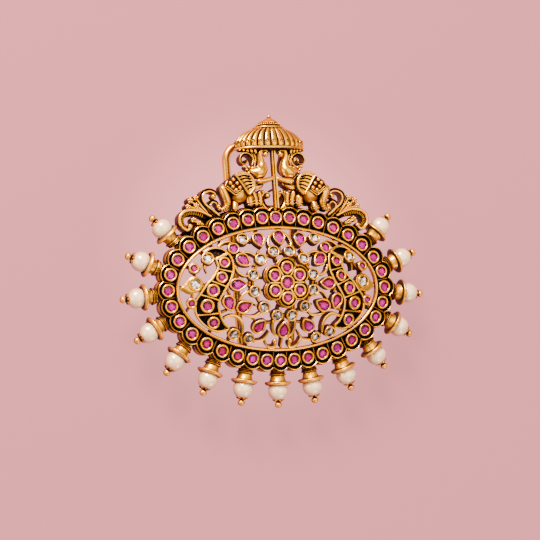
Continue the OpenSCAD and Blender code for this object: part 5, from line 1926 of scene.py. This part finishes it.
@dataclass
class HairFork(MetalPiece):
    """One bent wire with two tapered legs behind the panel."""

    name: str = "hair_fork_bent_wire"
    node: str = "hair_fork"
    slot: str = "fork_wire"
    smooth: float = 60.0
    top_x: float = 10.4
    tip_x: float = 7.4
    top_y: float = 41.2
    tip_y: float = -20.0
    bend_r: float = 4.2

    def fill(self, shape: Shape) -> None:
        """Adds the wire: one leg, the two bends at the top and the other leg."""
        lean = math.degrees(math.atan((self.top_x - self.tip_x) / (self.top_y - self.bend_r - self.tip_y)))
        middle = np.array([self.top_x - self.bend_r, self.top_y - self.bend_r])
        bend = [middle + oval(self.bend_r, self.bend_r, 90 - (90 + lean) * k / 12) for k in range(13)]
        tip = np.array([self.tip_x, self.tip_y])
        leg = [bend[-1] + (tip - bend[-1]) * s for s in np.linspace(0.03, 1, 40)]
        right = np.vstack([[(0.0, self.top_y), (3.0, self.top_y)], bend, leg])
        line = np.vstack([right[:0:-1] * [-1, 1], right])
        radii = [0.5 * WIRE_D * r for r in (0.4, 0.8, *[1.0] * 36, 0.8, 0.4)]
        add_tube(shape, raised(line, WIRE_D / 2), radii, None, 1.0, 24)


@dataclass
class PhotoStudio:
    """Pale card, soft lights from above and the sides, and the camera at the photograph's angle."""

    floor_reach: float = 1.4
    view_side: float = math.radians(22)
    view_rise: float = math.radians(1.99)
    roll: float = math.radians(1.93)
    distance: float = 700.0
    lens: float = 166.67
    shift: tuple[float, float] = (-0.0159, 0.0367)
    aim_y: float = -0.33
    tent_low: float = 1.5
    tent_high: float = 0.42
    tent_rise: float = 0.55

    def build(self) -> None:
        """Makes the card, the lights, the world and the camera."""
        self.add_floor()
        self.add_world()
        for name, place, size, power, colour in (
            ("softbox_key", (-210, 430, 330), 220, 13.0, "#FFF8F0"),
            ("softbox_over", (120, 60, 460), 520, 2.4, "#FFF6EE"),
            ("softbox_left", (-430, -40, 200), 200, 0.7, "#FFF2E6"),
            ("softbox_low", (150, -400, 200), 200, 0.8, "#FFEFE0"),
        ):
            self.add_light(name, place, size, power, colour)
        self.add_camera()

    def add_floor(self) -> None:
        """Adds the flat card that the brooch lies on."""
        mesh = bpy.data.meshes.new("floor_card")
        r = self.floor_reach
        mesh.from_pydata([(-r, -r, 0), (r, -r, 0), (r, r, 0), (-r, r, 0)], [], [(0, 1, 2, 3)])
        mesh.materials.append(PaintedGlowFloor().build())
        card = bpy.data.objects.new("floor_card", mesh)
        bpy.context.scene.collection.objects.link(card)

    def add_world(self) -> None:
        """Sets the light tent round the card: brighter low down, so that light reaches under the panel."""
        world = bpy.data.worlds.new("studio_room")
        world.use_nodes = True
        tree = world.node_tree
        back = tree.nodes["Background"]
        back.inputs["Color"].default_value = linear("#FFF3E4")
        place = add_node(tree, "TexCoord")
        split = add_node(tree, "SeparateXYZ", {}, {}, {"Vector": place.outputs["Generated"]})
        strengths = ranges(0.0, self.tent_rise, self.tent_low, self.tent_high)
        rise = add_node(tree, "MapRange", {}, strengths, {"Value": split.outputs["Z"]})
        tree.links.new(rise.outputs["Result"], back.inputs["Strength"])
        bpy.context.scene.world = world

    def add_light(
        self, name: str, place: tuple[float, float, float], size: float, power: float, colour: str,
    ) -> None:
        """Adds one square softbox that faces the brooch.

        Args:
            name: Name of the light.
            place: Place in millimetres in the brooch's own frame.
            size: Width of the box in millimetres.
            power: Power in watts.
            colour: Colour of the lamp.
        """
        light = bpy.data.lights.new(name, "AREA")
        light.size = size * MM
        light.energy = power
        light.color = linear(colour)[:3]
        lamp = bpy.data.objects.new(name, light)
        lamp.location = Vector(place) * MM
        lamp.rotation_euler = (Vector((0, 0, 8)) - Vector(place)).to_track_quat("-Z", "Y").to_euler()
        bpy.context.scene.collection.objects.link(lamp)

    def add_camera(self) -> None:
        """Adds the camera, left of square on and rolled a little as the photograph is."""
        hx, hy = self.view_side, self.view_rise
        back = Vector((-math.sin(hx) * math.cos(hy), -math.sin(hy), math.cos(hx) * math.cos(hy)))
        level = Vector((0, 1, 0)) - back * back.y
        level.normalize()
        up = level * math.cos(self.roll) + level.cross(back) * math.sin(self.roll)
        right = up.cross(back)
        place = back * self.distance + Vector((0, self.aim_y + OVAL_Y, FACE_Z))
        data = bpy.data.cameras.new("photo_camera")
        data.lens, data.sensor_width = self.lens, 36.0
        data.shift_x, data.shift_y = self.shift
        data.clip_start, data.clip_end = 0.05, 20.0
        camera = bpy.data.objects.new("photo_camera", data)
        turn = Matrix((right, up, back)).transposed().to_4x4()
        camera.matrix_world = Matrix.Translation(place * MM) @ turn
        bpy.context.scene.collection.objects.link(camera)
        bpy.context.scene.camera = camera


def main() -> None:
    """Builds each sub-assembly in order."""
    logging.basicConfig(level=logging.INFO, format="%(name)s %(message)s")
    gold = CastGold().build()
    border, lattice, flower = BorderFrame(), LatticePanel(), FlowerBoss()
    figures = [kind(side=side) for kind in (Peacock, Elephant) for side in Side]
    for part in (border, lattice, flower, CrestScrolls(), Canopy(), *figures):
        part.build(gold)
    # Each stone finish's colours are a ramp of painted light across the facets, from painted shade to a
    # painted flash
    kemp = FoiledStone("kemp_pink_glass", "#1E0012", "#660032", "#A00064", "#CC22A0",
                       hue_low=0.468, hue_high=0.512)
    clear = FoiledStone("clear_foiled_glass", "#140C0A", "#5A463E", "#B09A90", "#FFFAF4", cloud=0.5)
    rubies = StoneSet("border_kemp_stones", ("border_rubies",), kemp, "ruby_stone", 11)
    rounds = StoneSet("round_kemp_stones", ("round_rubies",), kemp, "ruby_stone", 12)
    pears = StoneSet("pear_kemp_stones", ("pear_rubies",), kemp, "ruby_stone", 13)
    clears = StoneSet("clear_glass_stones", ("clear_stones",), clear, "clear_stone", 14,
                      spread=0.3, sparkle=0.4, table_value=0.68)
    round_seats = lattice.seats(lattice.rubies) + flower.seats()
    clear_seats = lattice.seats(lattice.clears)
    for stones, seats in ((rubies, border.seats()), (rounds, round_seats), (clears, clear_seats)):
        for spot, _, radius in seats:
            stones.add(spot, StoneCut.ROUND, radius)
    for spot, length in lattice.pear_seats():
        pears.add(spot, StoneCut.PEAR, lattice.pear_r, length)
    for stones in (rubies, rounds, pears, clears):
        stones.build()
    # The cups and pins carry stronger painted side shade, and their sides are made less metallic
    turned = CastGold("antique_gold_turned_brass", "#FFB420", "#C07814", "#5A2804", roughness=0.36,
                      side_shade=0.62, side_dimming=0.4)
    PearlDrops().build(turned.build(), PearlCoat().build())
    HairFork().build(DrawnWire().build())
    PhotoStudio().build()


if __name__ == "__main__":
    main()
